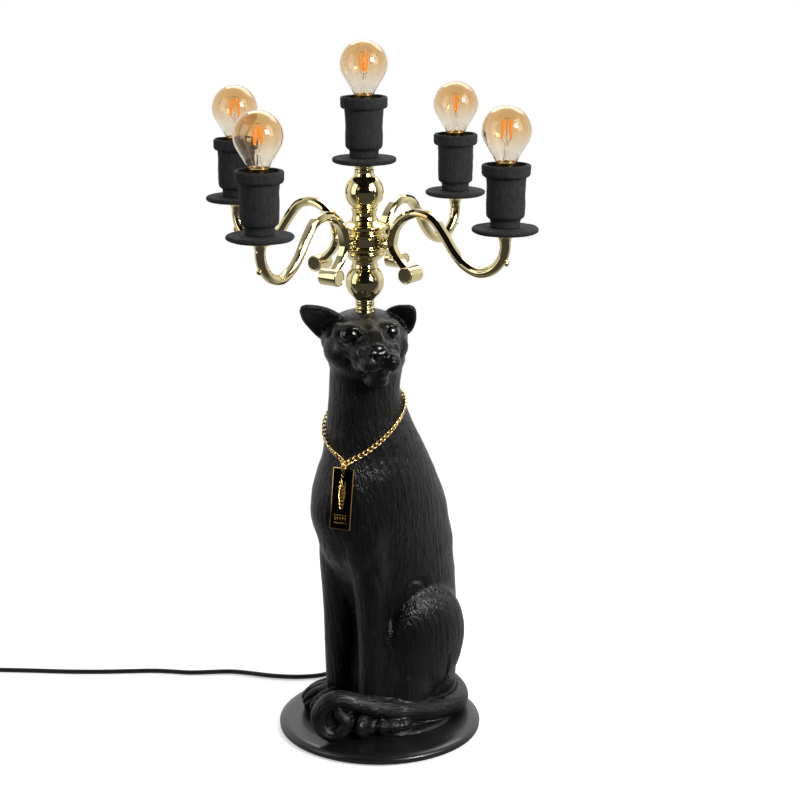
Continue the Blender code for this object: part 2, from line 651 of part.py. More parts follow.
# ================================================================== column
def threaded(name, outline, bottom, segments=18):
    """A turned brass piece of the column: an outline over a bore that clears the pipe."""
    height = outline[0][1]
    profile = [(r, bottom + z) for r, z in outline]
    profile += [(BORE_RADIUS, bottom + outline[-1][1]), (BORE_RADIUS, bottom + height)]
    return finish(turned(name, profile, segments), "brass")


def build_column():
    """The stack of turned brass pieces on the pipe, from the head's crown to the top pan."""
    h = COLLAR_HEIGHT
    threaded("seat_collar", [
        (NECK_RADIUS - 0.0006, h), (COLLAR_RADIUS, h - 0.0012), (COLLAR_RADIUS, h - 0.0038),
        (NECK_RADIUS - 0.0006, h - 0.005), (COLLAR_RADIUS, h - 0.0062), (COLLAR_RADIUS, 0.0)],
        COLLAR_BOTTOM)
    middle = LOWER_BALL_HEIGHT - 0.0131
    ball = arc((0.0, middle), BALL_RADIUS, math.degrees(math.asin(0.0131 / BALL_RADIUS)), -34, 6)
    threaded("lower_ball", ball + [(0.0115, middle - 0.0135), (NECK_RADIUS, middle - 0.0158),
                                   (NECK_RADIUS, 0.0)], LOWER_BALL_BOTTOM)
    h = LOWER_SPOOL_HEIGHT
    threaded("lower_spool", [
        (LOWER_FLANGE_RADIUS, h), (LOWER_FLANGE_RADIUS, h - 0.0042), (0.0165, h - 0.0062),
        (0.0126, h - 0.0100), (0.0118, h - 0.0125), (0.0126, 0.0024), (0.0126, 0.0)],
        LOWER_SPOOL_BOTTOM)
    h = UPPER_SPOOL_HEIGHT
    threaded("upper_spool", [
        (0.0118, h), (0.0126, h - 0.0012), (0.0118, h - 0.0028), (0.0112, h - 0.0085),
        (0.0128, h - 0.0118), (0.0172, h - 0.0145), (UPPER_FLANGE_RADIUS, h - 0.0168),
        (UPPER_FLANGE_RADIUS, 0.0024), (HUB_RADIUS, 0.0)], UPPER_SPOOL_BOTTOM)
    middle = UPPER_BALL_HEIGHT / 2
    pole = math.degrees(math.asin(middle / BALL_RADIUS))
    threaded("upper_ball", arc((0.0, middle), BALL_RADIUS, pole, -pole, 8), UPPER_BALL_BOTTOM)
    h = TOP_COLLAR_HEIGHT
    threaded("top_collar", [
        (0.0094, h), (0.0094, h - 0.0030), (0.0082, h - 0.0044), (NECK_RADIUS, h - 0.0064),
        (NECK_RADIUS, h - 0.0090), (0.0098, 0.0)], TOP_COLLAR_BOTTOM)
    build_hub()


def build_hub():
    """The hub, with four cross bores that take the arms' pins."""
    h = HUB_HEIGHT
    hub = threaded("arm_hub", [
        (HUB_RADIUS - 0.0012, h), (HUB_RADIUS, h - 0.0014), (HUB_RADIUS, 0.0014),
        (HUB_RADIUS - 0.0012, 0.0)], HUB_BOTTOM, 24)
    hub = made_solid(hub)
    for place, bearing in ARM_BEARINGS.items():
        a = math.radians(bearing)
        out = Vector((math.cos(a), math.sin(a), 0.0))
        middle = Vector((0, 0, HUB_MIDDLE))
        bore = cylinder(f"pin_bore_{place}", ARM_PIN_RADIUS + GAP,
                        middle + out * (HUB_RADIUS - ARM_PIN_DEPTH - 2 * GAP),
                        middle + out * (HUB_RADIUS + 0.004), 16)
        boolean(hub, bore, "DIFFERENCE")
    finish(made_solid(hub), "brass")


# ================================================================== arms
# The arm's centreline in its own plane, from the scroll to the ferrule. The first number is the
# share of the way from the inner bulge to the socket axis, the second is the height above the hub.
ARM_LINE = [
    (0.150, -23.5), (0.055, -13.0), (0.008, -4.0), (0.000, 3.0), (0.028, 15.0), (0.095, 25.0),
    (0.190, 31.0), (0.280, 31.5), (0.380, 27.0), (0.475, 14.0), (0.560, 0.0), (0.650, -10.0),
    (0.770, -15.8), (0.890, -12.0), (0.970, -2.0), (1.000, 8.0),
]


def arm_point(share, height):
    inner = HUB_RADIUS + ARM_INNER_OFFSET
    return Vector((inner + (ARM_REACH - inner) * share, 0.0, HUB_MIDDLE + 0.001 * height))


def build_arms():
    """Four S-shaped arms, each with its scroll, its pin into the hub, its ferrule and its nipple."""
    top = ARM_PAN_BOTTOM - GAP
    line = [arm_point(share, height) for share, height in ARM_LINE]
    line.append(Vector((ARM_REACH, 0.0, top - FERRULE_HEIGHT / 2)))
    path = smooth_path(line, 2)
    swell = [math.sin(math.pi * min(1.0, 1.6 * i / len(path))) for i in range(len(path))]
    widths = [0.86 + 0.20 * share for share in swell]
    arm = tube("arm", path, ARM_TUBE_RADIUS, widths, 1)
    arm = made_solid(arm)
    scroll = arm_point(0.170, -26.0)
    half = Vector((0.0, SCROLL_LENGTH / 2, 0.0))
    boolean(arm, cylinder("scroll", SCROLL_RADIUS, scroll - half, scroll + half, 20), "UNION")
    middle = Vector((0, 0, HUB_MIDDLE))
    pin_start = middle + Vector((HUB_RADIUS - ARM_PIN_DEPTH, 0, 0))
    boolean(arm, cylinder("arm_pin", ARM_PIN_RADIUS, pin_start, arm_point(0.0, 0.0), 14), "UNION")
    ferrule_bottom = Vector((ARM_REACH, 0.0, top - FERRULE_HEIGHT))
    ferrule_top = Vector((ARM_REACH, 0.0, top))
    boolean(arm, cylinder("ferrule", ARM_TUBE_RADIUS + 0.0008, ferrule_bottom, ferrule_top, 20,
                          FERRULE_RADIUS), "UNION")
    nipple_top = Vector((ARM_REACH, 0.0, ARM_PAN_BOTTOM + PAN_THICKNESS + NIPPLE_TOP))
    boolean(arm, cylinder("nipple", NIPPLE_RADIUS, ferrule_top - Vector((0, 0, 0.003)), nipple_top, 16),
            "UNION")
    screw_axis, screw_seat = screw_place(path)
    hole_end = screw_seat - screw_axis * (SCREW_SHANK_LENGTH + GAP)
    hole = cylinder("screw_hole", SCREW_SHANK_RADIUS + GAP, hole_end, screw_seat + screw_axis * 0.004, 12)
    boolean(arm, hole, "DIFFERENCE")
    arm = made_solid(arm)
    shade(arm)
    for place, bearing in ARM_BEARINGS.items():
        piece = copy_of(arm, f"arm_{place}", (0, 0, 0), math.radians(bearing))
        finish(piece, "brass")
    bpy.data.objects.remove(arm, do_unlink=True)
    build_screws(screw_axis, screw_seat)


def screw_place(path):
    """Where the small grub screw sits, on the outer side of the arm's rising end."""
    spot = arm_point(0.965, -3.0)
    nearest = min(path, key=lambda point: (point - spot).length)
    out = Vector((math.cos(math.radians(-12)), 0.0, math.sin(math.radians(-12))))
    return out, nearest + out * (ARM_TUBE_RADIUS + 0.0004)


def build_screws(axis, seat):
    """A small domed screw in the outer side of each arm."""
    dome = arc((0.0, 0.0), SCREW_HEAD_RADIUS, 90, 0, 3)
    profile = [(r, GAP + z * SCREW_HEAD_LENGTH / SCREW_HEAD_RADIUS) for r, z in dome]
    profile[0] = (0.0, profile[0][1])
    profile += [(SCREW_SHANK_RADIUS, GAP), (SCREW_SHANK_RADIUS, -SCREW_SHANK_LENGTH),
                (0.0, -SCREW_SHANK_LENGTH)]
    for place, bearing in ARM_BEARINGS.items():
        turn = Matrix.Rotation(math.radians(bearing), 4, "Z")
        screw = turned(f"arm_screw_{place}", profile, 10, closed=False)
        lie = axis.to_track_quat("Z", "Y").to_matrix().to_4x4()
        screw.matrix_world = turn @ Matrix.Translation(seat) @ lie
        finish(screw, "brass")


# ================================================================== sockets and bulbs
def socket_places():
    """The point on top of each drip pan, on the socket's axis."""
    places = {}
    for place, bearing in ARM_BEARINGS.items():
        a = math.radians(bearing)
        places[place] = Vector((ARM_REACH * math.cos(a), ARM_REACH * math.sin(a),
                                ARM_PAN_BOTTOM + PAN_THICKNESS))
    places["centre"] = Vector((0.0, 0.0, CENTRE_PAN_BOTTOM + PAN_THICKNESS))
    return places


def pan_profile():
    t = PAN_THICKNESS
    return [(0.0165, 0.0), (PAN_RADIUS - 0.0016, -0.0004), (PAN_RADIUS, -0.0020),
            (PAN_RADIUS - 0.0012, -t + 0.0012), (0.0200, -t), (BORE_RADIUS, -t), (BORE_RADIUS, 0.0)]


def cover_profile():
    lip = COVER_HEIGHT - COVER_LIP_HEIGHT
    floor = COVER_FOOT_HEIGHT + COVER_WALL / 2
    inside = COVER_RADIUS - COVER_WALL
    lip_inside = COVER_LIP_RADIUS - COVER_WALL - 0.0003
    return [
        (COVER_LIP_RADIUS, COVER_HEIGHT), (COVER_LIP_RADIUS, lip), (COVER_RADIUS, lip - 0.0002),
        (COVER_RADIUS, COVER_FOOT_HEIGHT + 0.0040),
        (COVER_FOOT_RADIUS + 0.0012, COVER_FOOT_HEIGHT), (COVER_FOOT_RADIUS, GAP),
        (BORE_RADIUS, GAP), (BORE_RADIUS, floor), (inside, floor), (inside, lip + 0.0010),
        (lip_inside, lip + 0.0030), (lip_inside, COVER_HEIGHT),
    ]


def holder_profile():
    top = HOLDER_BOTTOM + HOLDER_HEIGHT
    outer = COVER_RADIUS - COVER_WALL - GAP
    bore = CAP_THREAD_RADIUS + CAP_CLEARANCE
    floor = CAP_TOP - CAP_HEIGHT - GAP
    seat = HOLDER_BOTTOM + HOLDER_SEAT
    return [(0.0, floor), (bore, floor), (bore, top), (outer - 0.0008, top), (outer, top - 0.0010),
            (outer, HOLDER_BOTTOM), (BORE_RADIUS, HOLDER_BOTTOM), (BORE_RADIUS, seat), (0.0, seat)]


def build_socket(place, spot, models, filament):
    """The drip pan, the cover, the lampholder and the bulb of one light."""
    for name, (profile, segments, closed, look) in models.items():
        piece = turned(f"{name}_{place}", profile, segments, spot, closed)
        finish(piece, look)
    finish(copy_of(filament, f"bulb_filament_{place}", spot), "filament")


def cap_profile():
    top = CAP_TOP
    bottom = CAP_TOP - CAP_HEIGHT
    return [
        (0.0, top), (CAP_SKIRT_RADIUS - 0.0004, top), (CAP_SKIRT_RADIUS, top - 0.0006),
        (CAP_SKIRT_RADIUS - 0.0003, top - 0.0040), (CAP_THREAD_RADIUS, top - 0.0072),
        (CAP_THREAD_RADIUS, bottom + 0.0060), (0.0045, bottom + 0.0026), (0.0022, bottom + 0.0008),
        (0.0, bottom),
    ]


def glass_profile():
    """The golf-ball envelope: a sphere with a cone tangent to it, as a wall open at the neck."""
    neck = CAP_TOP + GAP
    centre = neck + BULB_NECK_TO_CENTRE
    tangent = bulb_tangent(BULB_RADIUS)
    outer = arc((0.0, centre), BULB_RADIUS, 90, tangent, 7)
    inner = arc((0.0, centre), BULB_RADIUS - GLASS_WALL, tangent, 90, 6)
    outer[0] = (0.0, centre + BULB_RADIUS)
    inner[-1] = (0.0, centre + BULB_RADIUS - GLASS_WALL)
    rim = [(BULB_NECK_RADIUS, neck), (BULB_NECK_RADIUS - GLASS_WALL, neck)]
    return outer + rim + inner


def bulb_tangent(radius):
    """The angle, in degrees below the equator, where the neck's cone leaves the sphere."""
    reach = math.hypot(BULB_NECK_RADIUS, BULB_NECK_TO_CENTRE)
    slope = math.atan2(-BULB_NECK_TO_CENTRE, BULB_NECK_RADIUS)
    return math.degrees(slope + math.acos(min(1.0, radius / reach)))


def build_filament():
    """A glass stem on the cap with a hairpin of filament above it, as one body."""
    base = CAP_TOP + 2 * GAP
    stem_top = base + 0.0160
    top = base + BULB_NECK_TO_CENTRE + BULB_RADIUS * 0.45
    w = 0.0055
    line = [(-w * 0.35, 0, stem_top - 0.003), (-w * 0.6, 0, stem_top + 0.004), (-w, 0, top - 0.008),
            (-w * 0.55, 0, top - 0.001), (0, 0, top - 0.004), (w * 0.55, 0, top - 0.001),
            (w, 0, top - 0.008), (w * 0.6, 0, stem_top + 0.004), (w * 0.35, 0, stem_top - 0.003)]
    wire = made_solid(tube("filament", line, FILAMENT_RADIUS, None, 1))
    stem = cylinder("filament_stem", STEM_RADIUS + 0.0012, (0, 0, base), (0, 0, stem_top), 12, STEM_RADIUS)
    boolean(wire, stem, "UNION")
    return made_solid(wire)


def build_lights():
    models = {
        "drip_pan": (pan_profile(), 18, True, "cover"),
        "socket_cover": (cover_profile(), 16, True, "cover"),
        "lampholder": (holder_profile(), 12, False, "holder"),
        "bulb_cap": (cap_profile(), 12, False, "cap"),
        "bulb_glass": (glass_profile(), 14, False, "glass"),
    }
    filament = build_filament()
    for place, spot in socket_places().items():
        build_socket(place, spot, models, filament)
    bpy.data.objects.remove(filament, do_unlink=True)


# ================================================================== chain and pendant
def surface_point(tree, bearing, height):
    """The casting's surface at a bearing from the column's axis, and the way out of it."""
    out = Vector((math.cos(bearing), math.sin(bearing), 0.0))
    start = out * 0.3 * FIGURE_SCALE + Vector((0, 0, height))
    hit = tree.ray_cast(start, -out)
    return hit[0], out


def clear_of(tree, point, out, distance):
    """Move a point outwards until it is at least the distance from the casting."""
    for _ in range(60):
        gap = tree.find_nearest(point)[3]
        if gap >= distance:
            return point
        point = point + out * max(distance - gap, 0.0002)
    return point


def build_chain(tree):
    """The necklace, as the tube that its links fill, lying on the neck and chest."""
    count = 36
    front = FIGURE_BOTTOM + CHAIN_FRONT_HEIGHT * FIGURE_SCALE
    lift = RING_RADIUS + RING_WIRE + EASE - CHAIN_RADIUS
    points = []
    for k in range(count):
        turn = 2 * math.pi * k / count
        bearing = PENDANT_BEARING + turn
        height = front + CHAIN_RISE * FIGURE_SCALE * abs(math.sin(turn / 2)) ** 1.15
        spot, out = surface_point(tree, bearing, height)
        away = min(turn, 2 * math.pi - turn)
        rise = lift * max(0.0, 1.0 - away / math.radians(36))
        points.append(clear_of(tree, spot + out * CHAIN_RADIUS, out, CHAIN_RADIUS + EASE + rise))
    chain = tube("chain", points, CHAIN_RADIUS, None, 1, cyclic=True)
    finish(made_solid(chain), "gold")
    return points[0]


def build_pendant(tree, hang):
    """The jump ring on the chain and the tag that hangs from it, leaning on the chest."""
    out = Vector((math.cos(PENDANT_BEARING), math.sin(PENDANT_BEARING), 0.0))
    side = Vector((-out.y, out.x, 0.0))
    drop = RING_RADIUS - RING_WIRE - CHAIN_RADIUS - GAP
    frame = Matrix((side, out, (0, 0, 1))).transposed().to_4x4()
    lean = lean_of_tag(tree, hang, out, side, drop)
    hung = Matrix.Translation(hang) @ frame @ Matrix.Rotation(lean, 4, "X")
    ring_line = [(0.0, RING_RADIUS * math.cos(a), RING_RADIUS * math.sin(a) - drop)
                 for a in (2 * math.pi * k / 16 for k in range(16))]
    ring = made_solid(tube("jump_ring", ring_line, RING_WIRE, None, 1, cyclic=True))
    ring.matrix_world = hung
    finish(ring, "gold")
    hole = -drop - RING_RADIUS
    top = hole + TAG_HOLE_MARGIN
    tag = box("pendant_tag", (-TAG_WIDTH / 2, -TAG_THICKNESS / 2, top - TAG_LENGTH),
              (TAG_WIDTH / 2, TAG_THICKNESS / 2, top), PARTS)
    punch = cylinder("tag_hole", TAG_HOLE_RADIUS, (0, -TAG_THICKNESS, hole), (0, TAG_THICKNESS, hole), 12)
    boolean(tag, punch, "DIFFERENCE")
    tag = made_solid(tag)
    tag.matrix_world = hung
    finish(tag, "tag")


def lean_of_tag(tree, hang, out, side, drop):
    """The smallest lean, from straight down, at which the ring and tag clear the casting."""
    down = Vector((0, 0, -1))
    top = drop + RING_RADIUS - TAG_HOLE_MARGIN
    for degrees in range(0, 60):
        a = math.radians(degrees)
        along = down * math.cos(a) + out * math.sin(a)
        back = down * math.sin(a) - out * math.cos(a)
        clear = True
        for i in range(13):
            for j in (-1, 0, 1):
                place = hang + along * (top + TAG_LENGTH * i / 12) + side * (j * TAG_WIDTH / 2)
                place = place + back * (TAG_THICKNESS / 2)
                spot, normal, _, distance = tree.find_nearest(place)
                if (place - spot).dot(normal) < 0 or distance < EASE:
                    clear = False
        if clear:
            return a
    raise ValueError("the tag can't clear the casting")


# ================================================================== cord, switch and plug
def build_cord(exit_point):
    """The lead along the table to the switch, the run from there to the coil, and the coil."""
    end_x, end_y = SWITCH_START
    start = exit_point + Vector((0, GAP, 0))
    straight = start + Vector((0, CORD_RADIUS, 0))
    route = [start, straight] + [Vector(p) * 0.001 for p in CORD_ROUTE]
    route.append(Vector((end_x + GAP, end_y, CORD_AXIS)))
    lead = smooth_path(route, 2)
    finish(tube("cord_lead", lead, CORD_RADIUS), "cord")
    after = end_x - SWITCH_LENGTH - GAP
    edge = math.sqrt(COIL_OUTER ** 2 - (COIL_OUTER_COLUMN - CORD_RADIUS) ** 2)
    arrive = COIL_CENTRE[0] + edge + 2 * GAP
    run = after - arrive
    route = [(after, end_y, CORD_AXIS), (after - 0.2 * run, end_y, CORD_AXIS),
             (after - 0.45 * run, end_y, CORD_AXIS - 0.0018),
             (after - 0.75 * run, end_y, CORD_REST + 0.0006), (arrive, end_y, CORD_REST)]
    finish(tube("cord_tail", smooth_path(route, 2), CORD_RADIUS), "cord")
    inner = COIL_INNER_COLUMN - CORD_RADIUS
    height = COIL_LAYERS * 2 * CORD_RADIUS + FLOOR_LIFT
    ring = [(COIL_OUTER, height), (COIL_OUTER, FLOOR_LIFT), (inner, FLOOR_LIFT), (inner, height)]
    finish(turned("cord_coil", ring, 36, (*COIL_CENTRE, 0.0)), "cord")


def build_switch():
    """The inline switch on the cord: a case with a well, and the rocker that tilts in it."""
    x, y = SWITCH_START
    height = 2 * CORD_AXIS
    case = box("switch_body", (x - SWITCH_LENGTH, y - SWITCH_WIDTH / 2, 0.0),
               (x, y + SWITCH_WIDTH / 2, height), PARTS)
    edge = case.modifiers.new("rounded", "BEVEL")
    edge.width = 0.0030
    edge.segments = 2
    edge.limit_method = "ANGLE"
    middle = x - SWITCH_LENGTH / 2
    half_l, half_w = ROCKER_LENGTH / 2 + 2 * GAP, ROCKER_WIDTH / 2 + GAP
    well = box("rocker_well", (middle - half_l, y - half_w, height - ROCKER_WELL_DEPTH),
               (middle + half_l, y + half_w, height + 0.0020))
    boolean(case, well, "DIFFERENCE")
    case = made_solid(case)
    finish(case, "plastic")
    pivot = Vector((middle, y, height - ROCKER_PIVOT_DEPTH))
    end = ROCKER_LENGTH / 2
    outline = [(-end, -0.0008), (0.0, -0.0030), (end, -0.0008), (end, 0.0012), (0.0, 0.0022), (-end, 0.0012)]
    curve = bpy.data.curves.new("switch_rocker", "CURVE")
    curve.dimensions = "2D"
    curve.fill_mode = "BOTH"
    curve.extrude = ROCKER_WIDTH / 2
    spline = curve.splines.new("POLY")
    spline.points.add(len(outline) - 1)
    for i, (u, v) in enumerate(outline):
        spline.points[i].co = (u, v, 0.0, 1.0)
    spline.use_cyclic_u = True
    rocker = link(bpy.data.objects.new("switch_rocker", curve), PARTS)
    stand = Matrix.Rotation(math.pi / 2, 4, "X")
    rocker.matrix_world = Matrix.Translation(pivot) @ Matrix.Rotation(ROCKER_TILT, 4, "Y") @ stand
    finish(rocker, "plastic")


def build_plug():
    """The flat two-pin plug beside the coil: its body, its cord relief and its pins in one piece."""
    column = COIL_INNER_COLUMN + (COIL_COLUMNS - 2) * 2 * CORD_RADIUS
    y = COIL_CENTRE[1] - column
    relief_radius = CORD_RADIUS + 0.0010
    edge = math.sqrt(max(COIL_OUTER ** 2 - (column - relief_radius) ** 2, 0.0))
    x = COIL_CENTRE[0] + edge + 3 * GAP
    body_start = x + PLUG_RELIEF_LENGTH
    body_end = body_start + PLUG_BODY_LENGTH
    axis = CORD_AXIS
    body = box("plug", (body_start, y - PLUG_WIDTH / 2, axis - PLUG_THICKNESS / 2),
               (body_end, y + PLUG_WIDTH / 2, axis + PLUG_THICKNESS / 2), PARTS)
    for vertex in body.data.vertices:
        if vertex.co.x < body_start + 0.001:
            vertex.co.y = y + (vertex.co.y - y) * 0.42
            vertex.co.z = axis + (vertex.co.z - axis) * 0.72
    edge_round = body.modifiers.new("rounded", "BEVEL")
    edge_round.width = 0.0024
    edge_round.segments = 2
    relief = cylinder("plug_relief", relief_radius, (x, y, axis), (body_start + 0.004, y, axis), 14,
                      relief_radius + 0.0009)
    boolean(body, relief, "UNION")
    for side in (-1, 1):
        place = y + side * PIN_SPACING / 2
        pin = cylinder(f"plug_pin_{side + 1}", PIN_RADIUS, (body_end - 0.004, place, axis),
                       (body_end + PIN_LENGTH, place, axis), 14)
        boolean(body, pin, "UNION")
    finish(made_solid(body), "plastic")


# ================================================================== build
clear_scene()
PARTS = make_collection("panther_candelabra_lamp")
CUTTERS = make_collection("cutters")

build_base()
gland_end = build_gland()
build_rod()
figure_surface = build_figure()
build_column()
build_arms()
build_lights()
chain_front = build_chain(figure_surface)
build_pendant(figure_surface, chain_front)
build_cord(gland_end)
build_switch()
build_plug()
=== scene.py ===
"""Visual model of a table lamp: a seated panther carries a five-light brass candelabra.

Each sub-assembly is a class with its own sizes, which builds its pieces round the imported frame,
gives them their finishes and sets them on their bodies. Sizes in the tables are millimetres.
"""

import json
import logging
from dataclasses import dataclass, field
from enum import Enum
from math import acos, asin, atan2, copysign, cos, degrees, hypot, pi, radians, sin
from typing import Callable

import bmesh
import bpy
import numpy as np
from mathutils import Matrix, Vector
from mathutils.bvhtree import BVHTree


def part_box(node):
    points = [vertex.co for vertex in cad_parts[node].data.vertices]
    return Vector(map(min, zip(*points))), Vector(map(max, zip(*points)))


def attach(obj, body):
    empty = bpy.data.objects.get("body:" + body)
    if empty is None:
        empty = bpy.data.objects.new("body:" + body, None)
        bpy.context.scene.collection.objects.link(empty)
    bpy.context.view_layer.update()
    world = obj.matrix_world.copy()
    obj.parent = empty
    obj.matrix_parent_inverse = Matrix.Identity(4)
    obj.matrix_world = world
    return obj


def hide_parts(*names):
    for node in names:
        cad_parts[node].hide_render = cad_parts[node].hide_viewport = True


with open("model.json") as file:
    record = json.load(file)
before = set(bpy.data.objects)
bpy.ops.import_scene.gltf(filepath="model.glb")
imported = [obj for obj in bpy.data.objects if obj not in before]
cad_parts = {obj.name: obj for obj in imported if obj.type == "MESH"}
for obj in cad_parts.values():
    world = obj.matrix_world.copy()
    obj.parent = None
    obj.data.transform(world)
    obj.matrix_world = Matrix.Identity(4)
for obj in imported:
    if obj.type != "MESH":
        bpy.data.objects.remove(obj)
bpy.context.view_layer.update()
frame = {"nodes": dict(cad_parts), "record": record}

LOG = logging.getLogger("panther_lamp")
MM = 0.001
LAMP = "lamp"
Point = tuple[float, float, float]
BMesh = bmesh.types.BMesh
Mesh = bpy.types.Mesh
Piece = bpy.types.Object
Node = bpy.types.Node
Tree = bpy.types.NodeTree
Socket = bpy.types.NodeSocket
Profile = list[tuple[float, float]]


class Light(Enum):
    """The five lights, by where they stand round the column."""

    FRONT_RIGHT = "front_right"
    BACK_RIGHT = "back_right"
    BACK_LEFT = "back_left"
    FRONT_LEFT = "front_left"
    CENTRE = "centre"


# ---------------- materials
def linear(code: str) -> tuple[float, float, float, float]:
    """Turn an sRGB hex colour into the linear colour that a shader takes.

    Args:
        code: six hex digits, such as "C8B26A".

    Returns:
        Linear red, green, blue and an alpha of 1.
    """
    channels = [int(code[i:i + 2], 16) / 255 for i in (0, 2, 4)]
    curve = [c / 12.92 if c <= 0.04045 else ((c + 0.055) / 1.055) ** 2.4 for c in channels]
    return (*curve, 1.0)


def add_node(tree: Tree, kind: str, settings: dict | None = None,
             links: dict | None = None) -> Node:
    """Add a node with its settings and the sockets that feed it.

    Args:
        tree: the node tree.
        kind: the node's type name.
        settings: values by input name, input number or property name.
        links: source sockets by input name or number.

    Returns:
        The new node.
    """
    node = tree.nodes.new(kind)
    for key, value in (settings or {}).items():
        if isinstance(key, int) or key in node.inputs:
            node.inputs[key].default_value = value
        else:
            setattr(node, key, value)
    for key, socket in (links or {}).items():
        tree.links.new(socket, node.inputs[key])
    return node


@dataclass(frozen=True)
class Finish:
    """One real material: its colour, gloss and metal, and the record slot it belongs to."""

    name: str
    slot: str
    colour: str
    roughness: float
    metallic: float = 0.0
    ior: float = 1.5
    coat: float = 0.0

    def material(self) -> bpy.types.Material:
        """Make the material, or find it if it is made already.

        Returns:
            The finished material.
        """
        made = bpy.data.materials.get(self.name)
        if made:
            return made
        made = bpy.data.materials.new(self.name)
        made.use_nodes = True
        tree = made.node_tree
        shader = tree.nodes["Principled BSDF"]
        shader.inputs["Base Color"].default_value = linear(self.colour)
        shader.inputs["Roughness"].default_value = self.roughness
        shader.inputs["Metallic"].default_value = self.metallic
        shader.inputs["IOR"].default_value = self.ior
        shader.inputs["Coat Weight"].default_value = self.coat
        self.detail(tree, shader)
        made.diffuse_color = linear(self.colour)
        return made

    def detail(self, tree: Tree, shader: Node) -> None:
        """Add what the surface shows up close: a plain one has fine wear in its gloss."""
        self.vary_gloss(tree, shader, 9.0, 0.12)

    def place(self, tree: Tree) -> Socket:
        """Give the socket of Object coordinates, in metres."""
        return add_node(tree, "ShaderNodeTexCoord").outputs["Object"]

    def vary_gloss(self, tree: Tree, shader: Node, size: float,
                   amount: float) -> None:
        """Let the roughness wander a little, as handling and polishing leave it.

        Args:
            tree: the material's node tree.
            shader: its Principled shader.
            size: the size of the patches, in millimetres.
            amount: how far the roughness wanders, as a share of itself.
        """
        cloud = add_node(tree, "ShaderNodeTexNoise", {"Scale": 1 / (size * MM), "Detail": 3.0},
                         {"Vector": self.place(tree)})
        low, high = self.roughness * (1 - amount), self.roughness * (1 + amount)
        spread = add_node(tree, "ShaderNodeMapRange", {"From Min": 0.3, "From Max": 0.7,
                                                       "To Min": low, "To Max": high},
                          {"Value": cloud.outputs["Fac"]})
        tree.links.new(spread.outputs["Result"], shader.inputs["Roughness"])

    def emboss(self, tree: Tree, shader: Node,
               height: Socket, depth: float, strength: float = 1.0) -> None:
        """Send a height through a Bump node to the shader, after any bump it has already.

        Args:
            tree: the material's node tree.
            shader: its Principled shader.
            height: the socket with the height, from 0 to 1.
            depth: the relief's depth, in millimetres.
            strength: how much of the relief shows.
        """
        bump = add_node(tree, "ShaderNodeBump", {"Distance": depth * MM, "Strength": strength},
                        {"Height": height})
        if shader.inputs["Normal"].links:
            tree.links.new(shader.inputs["Normal"].links[0].from_socket, bump.inputs["Normal"])
        tree.links.new(bump.outputs["Normal"], shader.inputs["Normal"])


@dataclass(frozen=True)
class CastResin(Finish):
    """Poured polyester resin with a sprayed satin coat: engraved coat strokes whose cuts are painted darker
    and whose tops lighter, as painted shade and highlight.
    """

    stroke_width: float = 1.5     # hairs are finer, drawn this wide so that they show
    stroke_length: float = 13.0
    depth: float = 0.36

    def strokes(self, tree: Tree, attribute: str) -> Socket:
        """Give the height of the engraved strokes that follow one coat direction.

        Args:
            tree: the material's node tree.
            attribute: the vector attribute with the coat's own coordinates, in millimetres.

        Returns:
            A socket from 0, in the cut, to 1.
        """
        flow = add_node(tree, "ShaderNodeAttribute", {"attribute_name": attribute})
        shape = (1 / self.stroke_width, 1 / self.stroke_width, 1 / self.stroke_length)
        even = add_node(tree, "ShaderNodeVectorMath", {"operation": "MULTIPLY", 1: shape},
                        {0: flow.outputs["Vector"]})
        fine = add_node(tree, "ShaderNodeTexNoise", {"Scale": 1.0, "Detail": 2.0, "Distortion": 0.35},
                        {"Vector": even.outputs["Vector"]})
        ridge = add_node(tree, "ShaderNodeMapRange", {"From Min": 0.36, "From Max": 0.62},
                         {"Value": fine.outputs["Fac"]})
        return ridge.outputs["Result"]

    def detail(self, tree: Tree, shader: Node) -> None:
        """Engrave the coat, mix its two directions, polish the bare nose, and paint shade into the strokes'
        cuts.

        Args:
            tree: the material's node tree.
            shader: its Principled shader.
        """
        head = add_node(tree, "ShaderNodeAttribute", {"attribute_name": "head_share"})
        bare = add_node(tree, "ShaderNodeAttribute", {"attribute_name": "bare_share"})
        both = add_node(tree, "ShaderNodeMix", {}, {
            0: head.outputs["Fac"], 2: self.strokes(tree, "coat_flow"),
            3: self.strokes(tree, "face_flow")})
        covered = add_node(tree, "ShaderNodeMix", {3: 0.6}, {0: bare.outputs["Fac"], 2: both.outputs[0]})
        self.emboss(tree, shader, covered.outputs[0], self.depth)
        grain = add_node(tree, "ShaderNodeTexNoise", {"Scale": 1 / (0.9 * MM), "Detail": 2.0},
                         {"Vector": self.place(tree)})
        self.emboss(tree, shader, grain.outputs["Fac"], 0.06)
        cloud = add_node(tree, "ShaderNodeTexNoise", {"Scale": 1 / (14 * MM), "Detail": 4.0},
                         {"Vector": self.place(tree)})
        gloss = add_node(tree, "ShaderNodeMapRange", {
            "From Min": 0.3, "From Max": 0.7, "To Min": self.roughness * 0.86,
            "To Max": self.roughness * 1.14}, {"Value": cloud.outputs["Fac"]})
        smooth = add_node(tree, "ShaderNodeMix", {3: self.roughness * 0.55},
                          {0: bare.outputs["Fac"], 2: gloss.outputs["Result"]})
        tree.links.new(smooth.outputs[0], shader.inputs["Roughness"])
        # painted shade and highlight: the strokes' cuts take the darker colour and their raised tops the
        # lighter one
        tint = add_node(tree, "ShaderNodeMix", {"data_type": "RGBA", 6: linear(self.colour),
                                                7: linear("121213")}, {0: covered.outputs[0]})
        tree.links.new(tint.outputs[2], shader.inputs["Base Color"])


